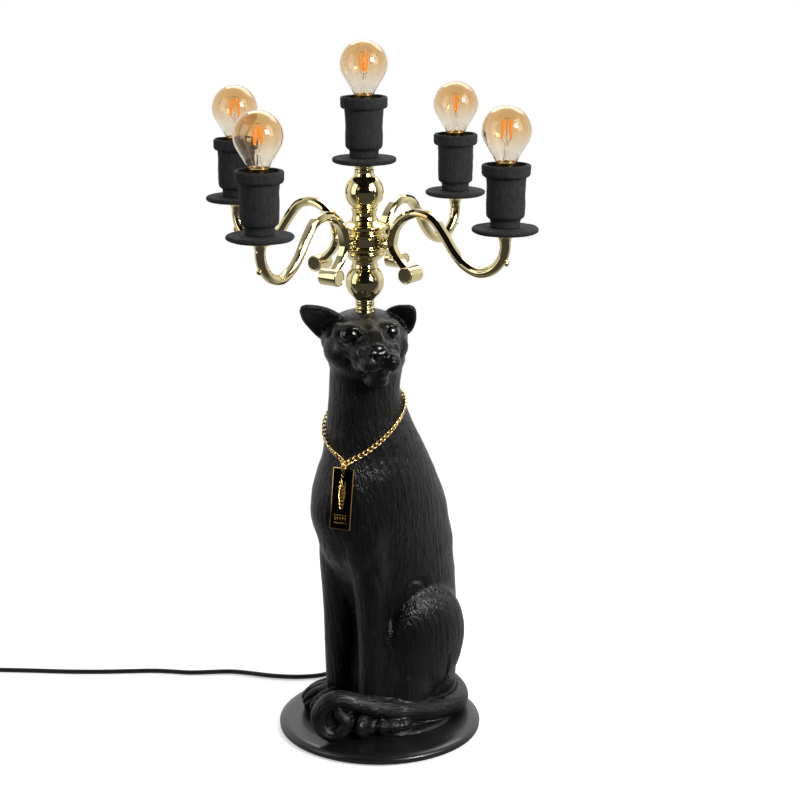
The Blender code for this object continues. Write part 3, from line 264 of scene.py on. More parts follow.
@dataclass(frozen=True)
class PolishedMetal(Finish):
    """Brass or gold plate, turned or cast and then buffed: mirror gloss with faint buffing haze."""

    def detail(self, tree: Tree, shader: Node) -> None:
        """Add the slow waviness that buffing leaves, and a haze that comes and goes.

        Args:
            tree: the material's node tree.
            shader: its Principled shader.
        """
        self.vary_gloss(tree, shader, 5.0, 0.45)
        wave = add_node(tree, "ShaderNodeTexNoise", {"Scale": 1 / (7 * MM), "Detail": 1.0},
                        {"Vector": self.place(tree)})
        self.emboss(tree, shader, wave.outputs["Fac"], 0.05)


@dataclass(frozen=True)
class RoughPlaster(Finish):
    """Hand-finished polyresin sprayed dead matte: pits and brushed lumps, no gloss at all."""

    def detail(self, tree: Tree, shader: Node) -> None:
        """Add streaky lumps, fine pits, and painted light and shade: the lumps' high spots lighter, their
        hollows darker.

        Args:
            tree: the material's node tree.
            shader: its Principled shader.
        """
        place = self.place(tree)
        tall = add_node(tree, "ShaderNodeMapping", {"Scale": (1.0, 1.0, 0.4)}, {"Vector": place})
        lumps = add_node(tree, "ShaderNodeTexNoise", {"Scale": 1 / (2.6 * MM), "Detail": 5.0,
                                                      "Roughness": 0.62}, {"Vector": tall.outputs[0]})
        pits = add_node(tree, "ShaderNodeTexNoise", {"Scale": 1 / (0.8 * MM), "Detail": 2.0},
                        {"Vector": place})
        self.emboss(tree, shader, lumps.outputs["Fac"], 0.9)
        self.emboss(tree, shader, pits.outputs["Fac"], 0.2)
        # painted light and shade: the colour follows the lumps' height, lighter on top and darker in the
        # hollows
        high = add_node(tree, "ShaderNodeMapRange", {"From Min": 0.35, "From Max": 0.7},
                        {"Value": lumps.outputs["Fac"]})
        tint = add_node(tree, "ShaderNodeMix", {"data_type": "RGBA", 6: linear(self.colour),
                                                7: linear("2A2A2B")}, {0: high.outputs["Result"]})
        tree.links.new(tint.outputs[2], shader.inputs["Base Color"])


@dataclass(frozen=True)
class Lacquer(Finish):
    """Sprayed satin lacquer on board: a soft even gloss with a trace of orange peel."""

    def detail(self, tree: Tree, shader: Node) -> None:
        """Add orange peel and a slight wander in the gloss.

        Args:
            tree: the material's node tree.
            shader: its Principled shader.
        """
        self.vary_gloss(tree, shader, 30.0, 0.1)
        peel = add_node(tree, "ShaderNodeTexNoise", {"Scale": 1 / (1.6 * MM), "Detail": 2.0},
                        {"Vector": self.place(tree)})
        self.emboss(tree, shader, peel.outputs["Fac"], 0.035)


@dataclass(frozen=True)
class Moulded(Finish):
    """Injection-moulded plastic or extruded PVC: a fine spark-eroded grain."""

    grain: float = 0.45
    depth: float = 0.05

    def detail(self, tree: Tree, shader: Node) -> None:
        """Add the mould's grain.

        Args:
            tree: the material's node tree.
            shader: its Principled shader.
        """
        self.vary_gloss(tree, shader, 12.0, 0.15)
        grain = add_node(tree, "ShaderNodeTexVoronoi", {"Scale": 1 / (self.grain * MM)},
                         {"Vector": self.place(tree)})
        self.emboss(tree, shader, grain.outputs["Distance"], self.depth)


@dataclass(frozen=True)
class AmberGlass(Finish):
    """Blown soda-lime glass with a vapour coat: amber at the top that clears towards the neck."""

    clear: str = "EFEAE1"

    def detail(self, tree: Tree, shader: Node) -> None:
        """Grade the tint by height up the bulb, and let light through.

        Args:
            tree: the material's node tree.
            shader: its Principled shader.
        """
        shader.inputs["Transmission Weight"].default_value = 1.0
        height = add_node(tree, "ShaderNodeAttribute", {"attribute_name": "bulb_height"})
        share = add_node(tree, "ShaderNodeMapRange", {"From Min": 0.15, "From Max": 0.8,
                                                      "interpolation_type": "SMOOTHSTEP"},
                         {"Value": height.outputs["Fac"]})
        tint = add_node(tree, "ShaderNodeMix", {"data_type": "RGBA", 6: linear(self.clear),
                                                7: linear(self.colour)}, {0: share.outputs["Result"]})
        tree.links.new(tint.outputs[2], shader.inputs["Base Color"])


@dataclass(frozen=True)
class ClearGlass(Finish):
    """Drawn lead-glass tube of a bulb's stem: colourless and clear."""

    def detail(self, tree: Tree, shader: Node) -> None:
        """Let light through, with the faint ripple of pressed glass.

        Args:
            tree: the material's node tree.
            shader: its Principled shader.
        """
        shader.inputs["Transmission Weight"].default_value = 1.0
        ripple = add_node(tree, "ShaderNodeTexNoise", {"Scale": 1 / (2.5 * MM)},
                          {"Vector": self.place(tree)})
        self.emboss(tree, shader, ripple.outputs["Fac"], 0.05)


@dataclass(frozen=True)
class Phosphor(Finish):
    """Silicone loaded with orange phosphor over the diode strip: soft, waxy and faintly beaded."""

    def detail(self, tree: Tree, shader: Node) -> None:
        """Add the beads of the diodes under the silicone, and a painted glow: the strips give out light of
        their own colour.

        Args:
            tree: the material's node tree.
            shader: its Principled shader.
        """
        # painted glow: emission makes the strips shine by themselves
        shader.inputs["Emission Color"].default_value = linear(self.colour)
        shader.inputs["Emission Strength"].default_value = 0.45
        beads = add_node(tree, "ShaderNodeTexVoronoi", {"Scale": 1 / (1.1 * MM)},
                         {"Vector": self.place(tree)})
        self.emboss(tree, shader, beads.outputs["Distance"], 0.1)


FIGURE = CastResin("cast_resin_satin_black", "black_resin", "080808", 0.30, ior=1.42)
EYE = Finish("gloss_varnished_resin", "black_resin", "0A0A0A", 0.12, ior=1.52, coat=0.6)
BRASS = PolishedMetal("buffed_pale_brass", "polished_brass", "EBDCA6", 0.075, 1.0)
COVER = RoughPlaster("matte_black_polyresin", "matte_black_cover", "161617", 0.9)
BOARD = Lacquer("satin_black_lacquer", "base_lacquer", "101011", 0.32, coat=0.3)
PAD = Moulded("foam_rubber_pad", "felt_pad", "121212", 0.9, grain=1.1, depth=0.3)
ZINC = Finish("zinc_plated_steel", "zinc_steel", "B9BABC", 0.32, 1.0)
HOLDER = Moulded("phenolic_lampholder", "lampholder_plastic", "17171A", 0.45)
CAP = PolishedMetal("rolled_brass_cap", "bulb_cap_brass", "DDB978", 0.2, 1.0)
GLASS = AmberGlass("amber_coated_glass", "amber_glass", "E8CFA7", 0.0, ior=1.45)
STEM = ClearGlass("clear_stem_glass", "led_filament", "FBFBF8", 0.02, ior=1.45)
WIRE = PolishedMetal("nickel_lead_wire", "led_filament", "C9C2B4", 0.25, 1.0)
STRIP = Phosphor("orange_phosphor_silicone", "led_filament", "F8A134", 0.5)
GOLD = PolishedMetal("deep_gold_plate", "gold_plate", "FCD98A", 0.22, 1.0)
ENAMEL = Lacquer("black_gloss_enamel", "black_enamel", "040404", 0.10, ior=1.33)
TAG_GOLD = PolishedMetal("gold_plated_frame", "black_enamel", "EFC56C", 0.18, 1.0)
CORD_PVC = Moulded("extruded_black_pvc", "cord_pvc", "0A0A0B", 0.40, grain=0.7, depth=0.03)
PLASTIC = Moulded("moulded_black_abs", "black_plastic", "101012", 0.36)
PIN = PolishedMetal("nickel_plated_pin", "black_plastic", "CFCDC8", 0.18, 1.0)


# ---------------- making pieces
def settle(name: str, shape: BMesh, finish: Finish, body: str = LAMP,
           stands_for: tuple[str, ...] = (), sharp: float = 35.0,
           extra: tuple[Finish, ...] = ()) -> Piece:
    """Turn a finished bmesh into a piece that rides on its body.

    Args:
        name: the piece's name.
        shape: its bmesh, in metres and in place, which is freed.
        finish: its material.
        body: the body that it moves with.
        stands_for: the CAD nodes that it replaces.
        sharp: the angle, in degrees, from which an edge stays crisp.
        extra: further finishes, for faces with a material index of 1 and up.

    Returns:
        The new object.
    """
    mesh = bpy.data.meshes.new(name)
    shape.to_mesh(mesh)
    shape.free()
    mesh.shade_smooth()
    mesh.set_sharp_from_angle(angle=radians(sharp))
    for look in (finish, *extra):
        mesh.materials.append(look.material())
    piece = bpy.data.objects.new(name, mesh)
    bpy.context.scene.collection.objects.link(piece)
    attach(piece, body)
    if stands_for:
        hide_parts(*stands_for)
    LOG.info("%s: %d faces on %s", name, len(mesh.polygons), body)
    return piece


def fillet(corners: list[tuple[float, float, float]], steps: int = 4) -> Profile:
    """Round the corners of a profile.

    Args:
        corners: (radius from the axis, height, rounding) of each corner, in millimetres.
        steps: how many edges each rounding has.

    Returns:
        The profile's points, in millimetres.
    """
    points: Profile = []
    for i, (r, z, bend) in enumerate(corners):
        here = Vector((r, z))
        if bend <= 0 or i in (0, len(corners) - 1):
            points.append((r, z))
            continue
        back = Vector(corners[i - 1][:2]) - here
        ahead = Vector(corners[i + 1][:2]) - here
        reach = min(bend, back.length * 0.48, ahead.length * 0.48)
        start = here + back.normalized() * reach
        end = here + ahead.normalized() * reach
        for k in range(steps + 1):
            u = k / steps
            spot = start * (1 - u) ** 2 + here * 2 * u * (1 - u) + end * u ** 2
            points.append((spot.x, spot.y))
    return points


def arc(middle: float, radius: float, start: float, end: float, steps: int) -> Profile:
    """Points of a ball's profile, its middle on the axis."""
    angles = [radians(start + (end - start) * i / steps) for i in range(steps + 1)]
    return [(radius * cos(a), middle + radius * sin(a)) for a in angles]


def turn(profile: Profile, steps: int = 96, shape: BMesh | None = None,
         place: Matrix | None = None, closed: bool = False) -> BMesh:
    """Spin a profile round the Z axis into a closed skin.

    Args:
        profile: (radius, height) points in millimetres.
        steps: how many faces go round.
        shape: a bmesh to add to, or a new one.
        place: where the turned shape stands, in metres.
        closed: whether the profile's last point joins its first.

    Returns:
        The bmesh with the turned shape in it.
    """
    shape = shape or bmesh.new()
    before = set(shape.verts)
    dots = [shape.verts.new((r * MM, 0.0, z * MM)) for r, z in profile]
    edges = [shape.edges.new(pair) for pair in zip(dots, dots[1:])]
    if closed:
        edges.append(shape.edges.new((dots[-1], dots[0])))
    bmesh.ops.spin(shape, geom=dots + edges, cent=(0, 0, 0), axis=(0, 0, 1), dvec=(0, 0, 0),
                   angle=2 * pi, steps=steps, use_merge=True, use_normal_flip=False,
                   use_duplicate=False)
    fresh = [v for v in shape.verts if v not in before]
    bmesh.ops.remove_doubles(shape, verts=fresh, dist=1e-6)
    fresh = [v for v in shape.verts if v not in before]
    faces = list({f for v in fresh for f in v.link_faces})
    bmesh.ops.recalc_face_normals(shape, faces=faces)
    if place is not None:
        bmesh.ops.transform(shape, matrix=place, verts=fresh)
    return shape


def smooth_path(points: list[Vector], per_span: int, cyclic: bool = False) -> list[Vector]:
    """Points along a Catmull-Rom curve through the given ones.

    Args:
        points: the points to pass through.
        per_span: how many steps each span gets.
        cyclic: whether the curve closes on itself.

    Returns:
        The curve's points.
    """
    count = len(points)
    path = []
    for i in range(count if cyclic else count - 1):
        if cyclic:
            a, b, c, d = (points[(i + k) % count] for k in (-1, 0, 1, 2))
        else:
            b, c = points[i], points[i + 1]
            a = points[i - 1] if i else b + (b - c)
            d = points[i + 2] if i + 2 < count else c + (c - b)
        for k in range(per_span):
            u = k / per_span
            path.append(0.5 * (2 * b + (c - a) * u + (2 * a - 5 * b + 4 * c - d) * u ** 2
                               + (3 * b - 3 * c + d - a) * u ** 3))
    if not cyclic:
        path.append(points[-1])
    return path


def store_values(piece: Piece, name: str, values: np.ndarray) -> None:
    """Store a number or a vector at each point of a piece, for its finish to read.

    Args:
        piece: the piece.
        name: the attribute's name.
        values: one row for each point.
    """
    kind, slot = ("FLOAT_VECTOR", "vector") if values.ndim == 2 else ("FLOAT", "value")
    row = piece.data.attributes.new(name, kind, "POINT")
    row.data.foreach_set(slot, np.ascontiguousarray(values, np.float32).ravel())


def cut_fine(profile: Profile, step: float, upright: bool = False) -> Profile:
    """Cut the long runs of a profile into short ones.

    Args:
        profile: the corners, in order.
        step: about how long a run stays, in millimetres.
        upright: whether only a run's height counts.

    Returns:
        The finer profile, without its very last point.
    """
    rings: Profile = []
    for (r0, z0), (r1, z1) in zip(profile, profile[1:]):
        run = abs(z1 - z0) if upright else hypot(r1 - r0, z1 - z0)
        cuts = max(1, round(run / step))
        rings += [(r0 + (r1 - r0) * k / cuts, z0 + (z1 - z0) * k / cuts) for k in range(cuts)]
    return rings


def loft(shape: BMesh, stations: list[tuple[Matrix, list[Vector]]], cyclic: bool = False) -> None:
    """Bridge one ring of points after another into a skin.

    Args:
        shape: the bmesh to add to.
        stations: for each ring, where it stands and its outline in its own XY plane.
        cyclic: whether the last ring joins the first; otherwise both ends are filled.
    """
    rings = []
    part = bmesh.new()
    for place, outline in stations:
        made = bmesh.ops.create_circle(part, segments=len(outline), radius=1.0)["verts"]
        made.sort(key=lambda v: atan2(v.co.y, v.co.x) % (2 * pi))
        for vert, spot in zip(made, outline):
            vert.co = place @ spot
        rings.append(list({e for v in made for e in v.link_edges}))
    pairs = list(zip(rings, rings[1:]))
    if cyclic:
        pairs.append((rings[-1], rings[0]))
    for low, high in pairs:
        bmesh.ops.bridge_loops(part, edges=low + high)
    if not cyclic:
        bmesh.ops.holes_fill(part, edges=rings[0], sides=0)
        bmesh.ops.holes_fill(part, edges=rings[-1], sides=0)
    merge_into(shape, part)


def frames_along(path: list[Vector], side: Vector | None = None) -> list[Matrix]:
    """Frames whose Z axis runs along a path and whose X axis keeps its turn.

    Args:
        path: the points of the path.
        side: a direction that X keeps to, or none to carry X on from frame to frame.

    Returns:
        One matrix for each point.
    """
    frames = []
    across = side or (path[1] - path[0]).orthogonal()
    for i, spot in enumerate(path):
        ahead = (path[min(i + 1, len(path) - 1)] - path[max(i - 1, 0)]).normalized()
        across = ((side or across) - ahead * (side or across).dot(ahead)).normalized()
        up = ahead.cross(across)
        turn_matrix = Matrix((across, up, ahead)).transposed().to_4x4()
        frames.append(Matrix.Translation(spot) @ turn_matrix)
    return frames


def round_tube(shape: BMesh, path: list[Vector], radii: list[float], sides: int = 12,
               cyclic: bool = False) -> None:
    """Add a round tube along a path.

    Args:
        shape: the bmesh to add to.
        path: the centreline's points, in metres.
        radii: the radius at each point, in millimetres.
        sides: how many faces go round.
        cyclic: whether the tube closes on itself.
    """
    circle = [Vector((cos(2 * pi * k / sides), sin(2 * pi * k / sides), 0))
              for k in range(sides)]
    stations = [(place, [c * (r * MM) for c in circle])
                for place, r in zip(frames_along(path), radii)]
    loft(shape, stations, cyclic=cyclic)


def ball(shape: BMesh, place: Vector, sizes: Point, turned_by: Matrix | None = None,
         rings: int = 14) -> None:
    """Add a rounded mass.

    Args:
        shape: the bmesh to add to.
        place: its middle, in metres.
        sizes: its half sizes along its own axes, in millimetres.
        turned_by: how it is turned.
        rings: how finely it is divided.
    """
    size = Matrix.Diagonal((*(s * MM for s in sizes), 1.0))
    part = bmesh.new()
    bmesh.ops.create_uvsphere(part, u_segments=rings * 2, v_segments=rings, radius=1.0,
                              matrix=Matrix.Translation(place) @ (turned_by or Matrix()) @ size)
    merge_into(shape, part)


def block(shape: BMesh, size: Point, place: Matrix, rounding: float = 0.0,
          steps: int = 3) -> None:
    """Add a box with rounded edges.

    Args:
        shape: the bmesh to add to.
        size: its sides, in millimetres.
        place: where its middle stands, in metres.
        rounding: the radius of its edges, in millimetres.
        steps: how many faces each rounded edge has.
    """
    part = bmesh.new()
    bmesh.ops.create_cube(part, size=1.0, matrix=Matrix.Diagonal((*(s * MM for s in size), 1.0)))
    if rounding:
        bmesh.ops.bevel(part, geom=part.edges[:], offset=rounding * MM, segments=steps, profile=0.5,
                        affect="EDGES", material=-1)
    bmesh.ops.transform(part, matrix=place, verts=part.verts[:])
    merge_into(shape, part)


def outwards(shape: BMesh) -> None:
    """Turn every face of a closed skin outwards."""
    bmesh.ops.recalc_face_normals(shape, faces=shape.faces[:])


def merge_into(shape: BMesh, part: BMesh) -> None:
    """Copy one bmesh into another and free it.

    Args:
        shape: the bmesh to add to.
        part: the bmesh to add, which is freed.
    """
    mesh = bpy.data.meshes.new("part")
    part.to_mesh(mesh)
    part.free()
    shape.from_mesh(mesh)
    bpy.data.meshes.remove(mesh)


def joined(base: BMesh, tools: list[BMesh],
           operation: str = "UNION") -> BMesh:
    """Join closed shapes into one skin, or cut them away.

    Args:
        base: the shape to change, which is freed.
        tools: the other shapes, which are freed.
        operation: UNION or DIFFERENCE.

    Returns:
        The result.
    """
    made = []
    for part in (base, *tools):
        mesh = bpy.data.meshes.new("boolean_part")
        part.to_mesh(mesh)
        part.free()
        made.append(bpy.data.objects.new("boolean_part", mesh))
        bpy.context.scene.collection.objects.link(made[-1])
    for tool in made[1:]:
        step = made[0].modifiers.new("join", "BOOLEAN")
        step.operation, step.solver, step.object = operation, "EXACT", tool
    result = bmesh.new()
    result.from_mesh(evaluated(made[0]))
    for obj in made:
        bpy.data.objects.remove(obj, do_unlink=True)
    return result


def evaluated(obj: Piece) -> Mesh:
    """Apply an object's modifiers to a copy of its mesh."""
    graph = bpy.context.evaluated_depsgraph_get()
    return bpy.data.meshes.new_from_object(obj.evaluated_get(graph))


def lattice_noise(points: np.ndarray, seed: int = 0) -> np.ndarray:
    """Smooth value noise, the same on every run.

    Args:
        points: positions in lattice units, one row each.
        seed: picks a different field.

    Returns:
        A value from -1 to 1 for each row.
    """
    cell = np.floor(points).astype(np.int64)
    part = points - cell
    part = part * part * (3 - 2 * part)
    total = np.zeros(len(points))
    for dx in (0, 1):
        for dy in (0, 1):
            for dz in (0, 1):
                key = ((cell[:, 0] + dx) * 73856093 ^ (cell[:, 1] + dy) * 19349663
                       ^ (cell[:, 2] + dz) * 83492791 ^ (seed * 2654435761 % 2147483647))
                key = (key ^ (key >> 13)) * 1274126177 & 0x7FFFFFFF
                key = (key ^ (key >> 16)) & 0xFFFFFF
                weight = (np.where(dx, part[:, 0], 1 - part[:, 0])
                          * np.where(dy, part[:, 1], 1 - part[:, 1])
                          * np.where(dz, part[:, 2], 1 - part[:, 2]))
                total += weight * (key / float(0xFFFFFF) * 2 - 1)
    return total


def points_of(mesh: Mesh) -> np.ndarray:
    """Read a mesh's points, one row each, in metres."""
    flat = np.empty(len(mesh.vertices) * 3)
    mesh.vertices.foreach_get("co", flat)
    return flat.reshape(-1, 3)


def normals_of(mesh: Mesh) -> np.ndarray:
    """Read a mesh's point normals, one row each."""
    flat = np.empty(len(mesh.vertices) * 3)
    mesh.vertices.foreach_get("normal", flat)
    return flat.reshape(-1, 3)


def unevenness(shape: BMesh, size: float, amount: float, seed: int,
               flat: float = 1.0) -> None:
    """Push a skin in and out sideways, as a hand-worked surface wanders.

    Args:
        shape: the bmesh to change.
        size: the size of the lumps, in millimetres.
        amount: how far they stand, in millimetres.
        seed: picks a different set of lumps.
        flat: how much of the push also goes up and down.
    """
    spots = np.array([v.co[:] for v in shape.verts]) / (size * MM)
    push = lattice_noise(spots, seed) * 0.7 + lattice_noise(spots * 2.1, seed + 5) * 0.3
    shape.normal_update()
    for vert, move in zip(shape.verts, push):
        way = Vector((vert.normal.x, vert.normal.y, vert.normal.z * flat))
        vert.co += way * (move * amount * MM)


# ---------------- studio
@dataclass
class Studio:
    """A pale sweep, a white surround with a darker camera side, soft boxes and the camera."""

    camera_place: Point = (0.0, -1.7366, 0.8106)
    camera_turn: Point = (pi / 2 - 0.2655, 0.0, -0.0192)
    focal_length: float = 84.155
    sensor: float = 36.0
    floor_radius: float = 30.0
    boxes: tuple = (
        ("left_box", (-1.35, -0.55, 0.95), 6.0, (0.8, 1.5)),
        ("right_box", (1.35, -0.75, 1.25), 10.0, (0.8, 1.4)),
        ("front_box", (1.45, -1.50, 1.45), 48.0, (0.7, 0.7)),
        ("back_box", (0.25, 1.10, 1.55), 13.0, (1.8, 0.8)),
    )

    def build(self) -> None:
        """Make the camera, the lights, the surround and the floor."""
        self.make_camera()
        self.make_lights()
        self.make_surround()
        self.make_floor()
        bpy.context.scene.view_settings.view_transform = "Standard"

    def make_camera(self) -> None:
        """Make the camera and set it as the scene's."""
        lens = bpy.data.cameras.new("camera")
        lens.lens, lens.sensor_width = self.focal_length, self.sensor
        camera = bpy.data.objects.new("camera", lens)
        camera.location, camera.rotation_euler = self.camera_place, self.camera_turn
        bpy.context.scene.collection.objects.link(camera)
        bpy.context.scene.camera = camera

    def make_lights(self) -> None:
        """Make the soft boxes, each facing the lamp's middle."""
        for name, place, power, (width, height) in self.boxes:
            light = bpy.data.lights.new(name, "AREA")
            light.shape, light.size, light.size_y, light.energy = "RECTANGLE", width, height, power
            box = bpy.data.objects.new(name, light)
            box.location = place
            aim = Vector((0, 0, 0.35)) - Vector(place)
            box.rotation_euler = aim.to_track_quat("-Z", "Y").to_euler()
            bpy.context.scene.collection.objects.link(box)

    def make_surround(self) -> None:
        """White behind and at the sides, darker on the camera side, where the room is unlit."""
        world = bpy.data.worlds.new("studio")
        bpy.context.scene.world = world
        world.use_nodes = True
        tree = world.node_tree
        back = tree.nodes["Background"]
        way = add_node(tree, "ShaderNodeTexCoord").outputs["Generated"]
        parts = add_node(tree, "ShaderNodeSeparateXYZ", {}, {0: way})
        front = add_node(tree, "ShaderNodeMapRange", {
            "From Min": -0.32, "From Max": 0.42, "To Min": 0.008, "To Max": 0.92,
            "interpolation_type": "SMOOTHSTEP"}, {"Value": parts.outputs["Y"]})
        high = add_node(tree, "ShaderNodeMapRange", {
            "From Min": 0.35, "From Max": 0.9, "To Min": 1.0, "To Max": 0.4},
            {"Value": parts.outputs["Z"]})
        dim = add_node(tree, "ShaderNodeMath", {"operation": "MULTIPLY"}, {
            0: front.outputs["Result"], 1: high.outputs["Result"]})
        level = add_node(tree, "ShaderNodeMix", {3: 1.0}, {0: self.seen(tree), 2: dim.outputs[0]})
        tree.links.new(level.outputs[0], back.inputs["Strength"])
        back.inputs["Color"].default_value = (1, 1, 1, 1)

    def seen(self, tree: Tree) -> Socket:
        """Tell what is looked at, straight or through glass, from what only gives light.

        Args:
            tree: the node tree.

        Returns:
            A socket that is 1 for a direct look or a look through glass.
        """
        path = add_node(tree, "ShaderNodeLightPath")
        either = add_node(tree, "ShaderNodeMath", {"operation": "MAXIMUM"}, {
            0: path.outputs["Is Camera Ray"], 1: path.outputs["Is Transmission Ray"]})
        return either.outputs[0]

    def make_floor(self) -> None:
        """A pale floor that takes the lamp's soft shadow and fades to even white further out."""
        shape = bmesh.new()
        bmesh.ops.create_circle(shape, cap_ends=True, segments=64, radius=self.floor_radius)
        mesh = bpy.data.meshes.new("floor")
        shape.to_mesh(mesh)
        shape.free()
        floor = bpy.data.objects.new("floor", mesh)
        bpy.context.scene.collection.objects.link(floor)
        paper = bpy.data.materials.new("white_paper_sweep")
        paper.use_nodes = True
        tree = paper.node_tree
        shader = tree.nodes["Principled BSDF"]
        shader.inputs["Base Color"].default_value = (0.85, 0.85, 0.85, 1)
        shader.inputs["Emission Color"].default_value = (1, 1, 1, 1)
        shader.inputs["Emission Strength"].default_value = 0.48
        shader.inputs["Roughness"].default_value = 0.6
        shader.inputs["Specular IOR Level"].default_value = 0.2
        glow = add_node(tree, "ShaderNodeEmission", {"Strength": 1.0})
        place = add_node(tree, "ShaderNodeTexCoord").outputs["Object"]
        away = add_node(tree, "ShaderNodeVectorMath", {"operation": "LENGTH"}, {0: place})
        share = add_node(tree, "ShaderNodeMapRange", {"From Min": 0.25, "From Max": 0.85,
                                                      "interpolation_type": "SMOOTHSTEP"},
                         {"Value": away.outputs["Value"]})
        mixed = add_node(tree, "ShaderNodeMixShader", {}, {
            0: share.outputs["Result"], 1: shader.outputs[0], 2: glow.outputs[0]})
        parts = add_node(tree, "ShaderNodeSeparateXYZ", {}, {0: place})
        behind = add_node(tree, "ShaderNodeMapRange", {
            "From Min": -0.30, "From Max": 0.30, "To Min": 0.06, "To Max": 0.65},
            {"Value": parts.outputs["Y"]})
        given = add_node(tree, "ShaderNodeEmission", {}, {"Strength": behind.outputs["Result"]})
        whole = add_node(tree, "ShaderNodeMixShader", {}, {
            0: self.seen(tree), 1: given.outputs[0], 2: mixed.outputs[0]})
        tree.links.new(whole.outputs[0], tree.nodes["Material Output"].inputs["Surface"])
        mesh.materials.append(paper)


# ---------------- cord, switch and plug
@dataclass
class MainsLead:
    """The free cord with its inline switch, its stored coil and its plug."""

    radius: float = 2.5
    rest: float = 2.6
    declared_length: float = 1.8
    route: tuple = (
        (13.0, 128.0, 5.55), (13.0, 130.8, 5.55), (12.8, 136.0, 4.6), (10.0, 144.0, 3.6),
        (1.5, 150.5, 2.8), (-10.0, 151.0, 2.6), (-20.5, 144.0, 2.6), (-29.5, 132.5, 2.6),
        (-38.5, 122.5, 2.6), (-50.0, 115.5, 2.6), (-64.0, 112.5, 2.6), (-80.0, 112.0, 2.6),
        (-104.0, 116.0, 2.6), (-126.0, 123.0, 2.6), (-147.0, 127.5, 2.6), (-168.0, 126.5, 2.6),
        (-189.0, 125.5, 2.6), (-208.0, 128.5, 2.6), (-228.0, 131.0, 2.6), (-250.0, 130.5, 2.6),
        (-285.0, 129.5, 2.6), (-320.0, 130.5, 2.6), (-360.0, 134.0, 2.6), (-394.0, 136.5, 2.6),
        (-412.0, 137.5, 3.4), (-426.0, 138.0, 5.8), (-440.0, 138.0, 7.5), (-471.0, 138.0, 7.5),
        (-502.0, 138.0, 7.5), (-515.0, 138.0, 5.7), (-531.0, 138.0, 3.2), (-545.0, 138.0, 2.6),
    )
    coil_centre: tuple = (-565.0, 103.0)
    columns: tuple = (35.0, 30.0, 25.0, 20.0)
    per_turn: int = 16

    def build(self) -> None:
        cord = self.make_cord()
        bush = self.make_bush()
        pieces = [bush, *self.make_switch(), *self.make_plug()]

    def coil_points(self) -> list[Vector]:
        """The coil's turns: inwards on the table, then outwards on top, and off to the plug.

        Returns:
            The points of the coil's centreline, in metres.
        """
        x, y = self.coil_centre
        spots = []
        steps = self.per_turn
        radii = [(r, self.rest) for r in self.columns for _ in range(steps)]
        top = self.rest + 2 * self.radius
        radii += [(r, top) for r in (20.0, 25.0) for _ in range(steps)]
        radii += [(30.0, top)] * (steps // 2 + 1)
        smooth = 5
        for i, _ in enumerate(radii):
            near = radii[max(0, i - smooth):i + smooth + 1] if 0 < i < len(radii) - smooth else [radii[i]]
            r = sum(n[0] for n in near) / len(near)
            z = sum(n[1] for n in near) / len(near)
            a = radians(90) + 2 * pi * i / steps
            spots.append(Vector((x + r * cos(a), y + r * sin(a), z)) * MM)
        return spots

    def make_cord(self) -> Piece:
        """Make the cord as one open curve.

        Returns:
            The cord.
        """
        way = [Vector(p) * MM for p in self.route]
        path = smooth_path(way, 3)[:-1] + smooth_path(self.coil_points(), 2)
        end = path[-1]
        path += [end + Vector((d * MM, 0, 0)) for d in (6.0, 14.0, 21.0, 27.0, 33.0)]
        curve = bpy.data.curves.new("mains_cord", "CURVE")
        curve.dimensions = "3D"
        curve.bevel_depth = self.radius * MM
        curve.bevel_resolution = 4
        curve.use_fill_caps = True
        spline = curve.splines.new("POLY")
        spline.points.add(len(path) - 1)
        for dot, spot in zip(spline.points, path):
            dot.co = (*spot, 1.0)
        spline.use_smooth = True
        curve.materials.append(CORD_PVC.material())
        cord = bpy.data.objects.new("mains_cord", curve)
        bpy.context.scene.collection.objects.link(cord)
        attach(cord, LAMP)
        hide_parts("cord_lead", "cord_tail", "cord_coil")
        length = sum((b - a).length for a, b in zip(path, path[1:]))
        LOG.info("mains_cord: %.3f m long", length)
        return cord

    def make_bush(self) -> Piece:
        """Make the ribbed bush that the cord leaves the base through.

        Returns:
            The bush.
        """
        low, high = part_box("cable_gland")
        length = (high.y - low.y) / MM
        shank, flange = 10.3, 2.0
        corners = [(0.0, length, 0.0), (3.1, length, 0.3)]
        ribs = 7
        rib_rows = []
        for k in range(ribs):
            near, far = shank + flange + 1.5 + k * 2.75, shank + flange + 3.4 + k * 2.75
            rib_rows.append((near, far, 3.9 - 0.75 * k / (ribs - 1)))
        for near, far, radius in reversed(rib_rows):
            corners += [(radius - 0.55, far + 0.35, 0.1), (radius, far, 0.25), (radius, near, 0.25),
                        (radius - 0.55, near - 0.35, 0.1)]
        corners += [(4.5, shank + flange, 0.3), (4.5, shank, 0.3), (3.1, shank, 0.1), (3.1, 0.0, 0.3),
                    (0.0, 0.0, 0.0)]
        middle = Vector(((low.x + high.x) / 2, low.y, (low.z + high.z) / 2))
        place = Matrix.Translation(middle) @ Matrix.Rotation(-pi / 2, 4, "X")
        shape = turn(fillet(corners, 2), 48, place=place)
        return settle("strain_relief", shape, PLASTIC, stands_for=("cable_gland",))

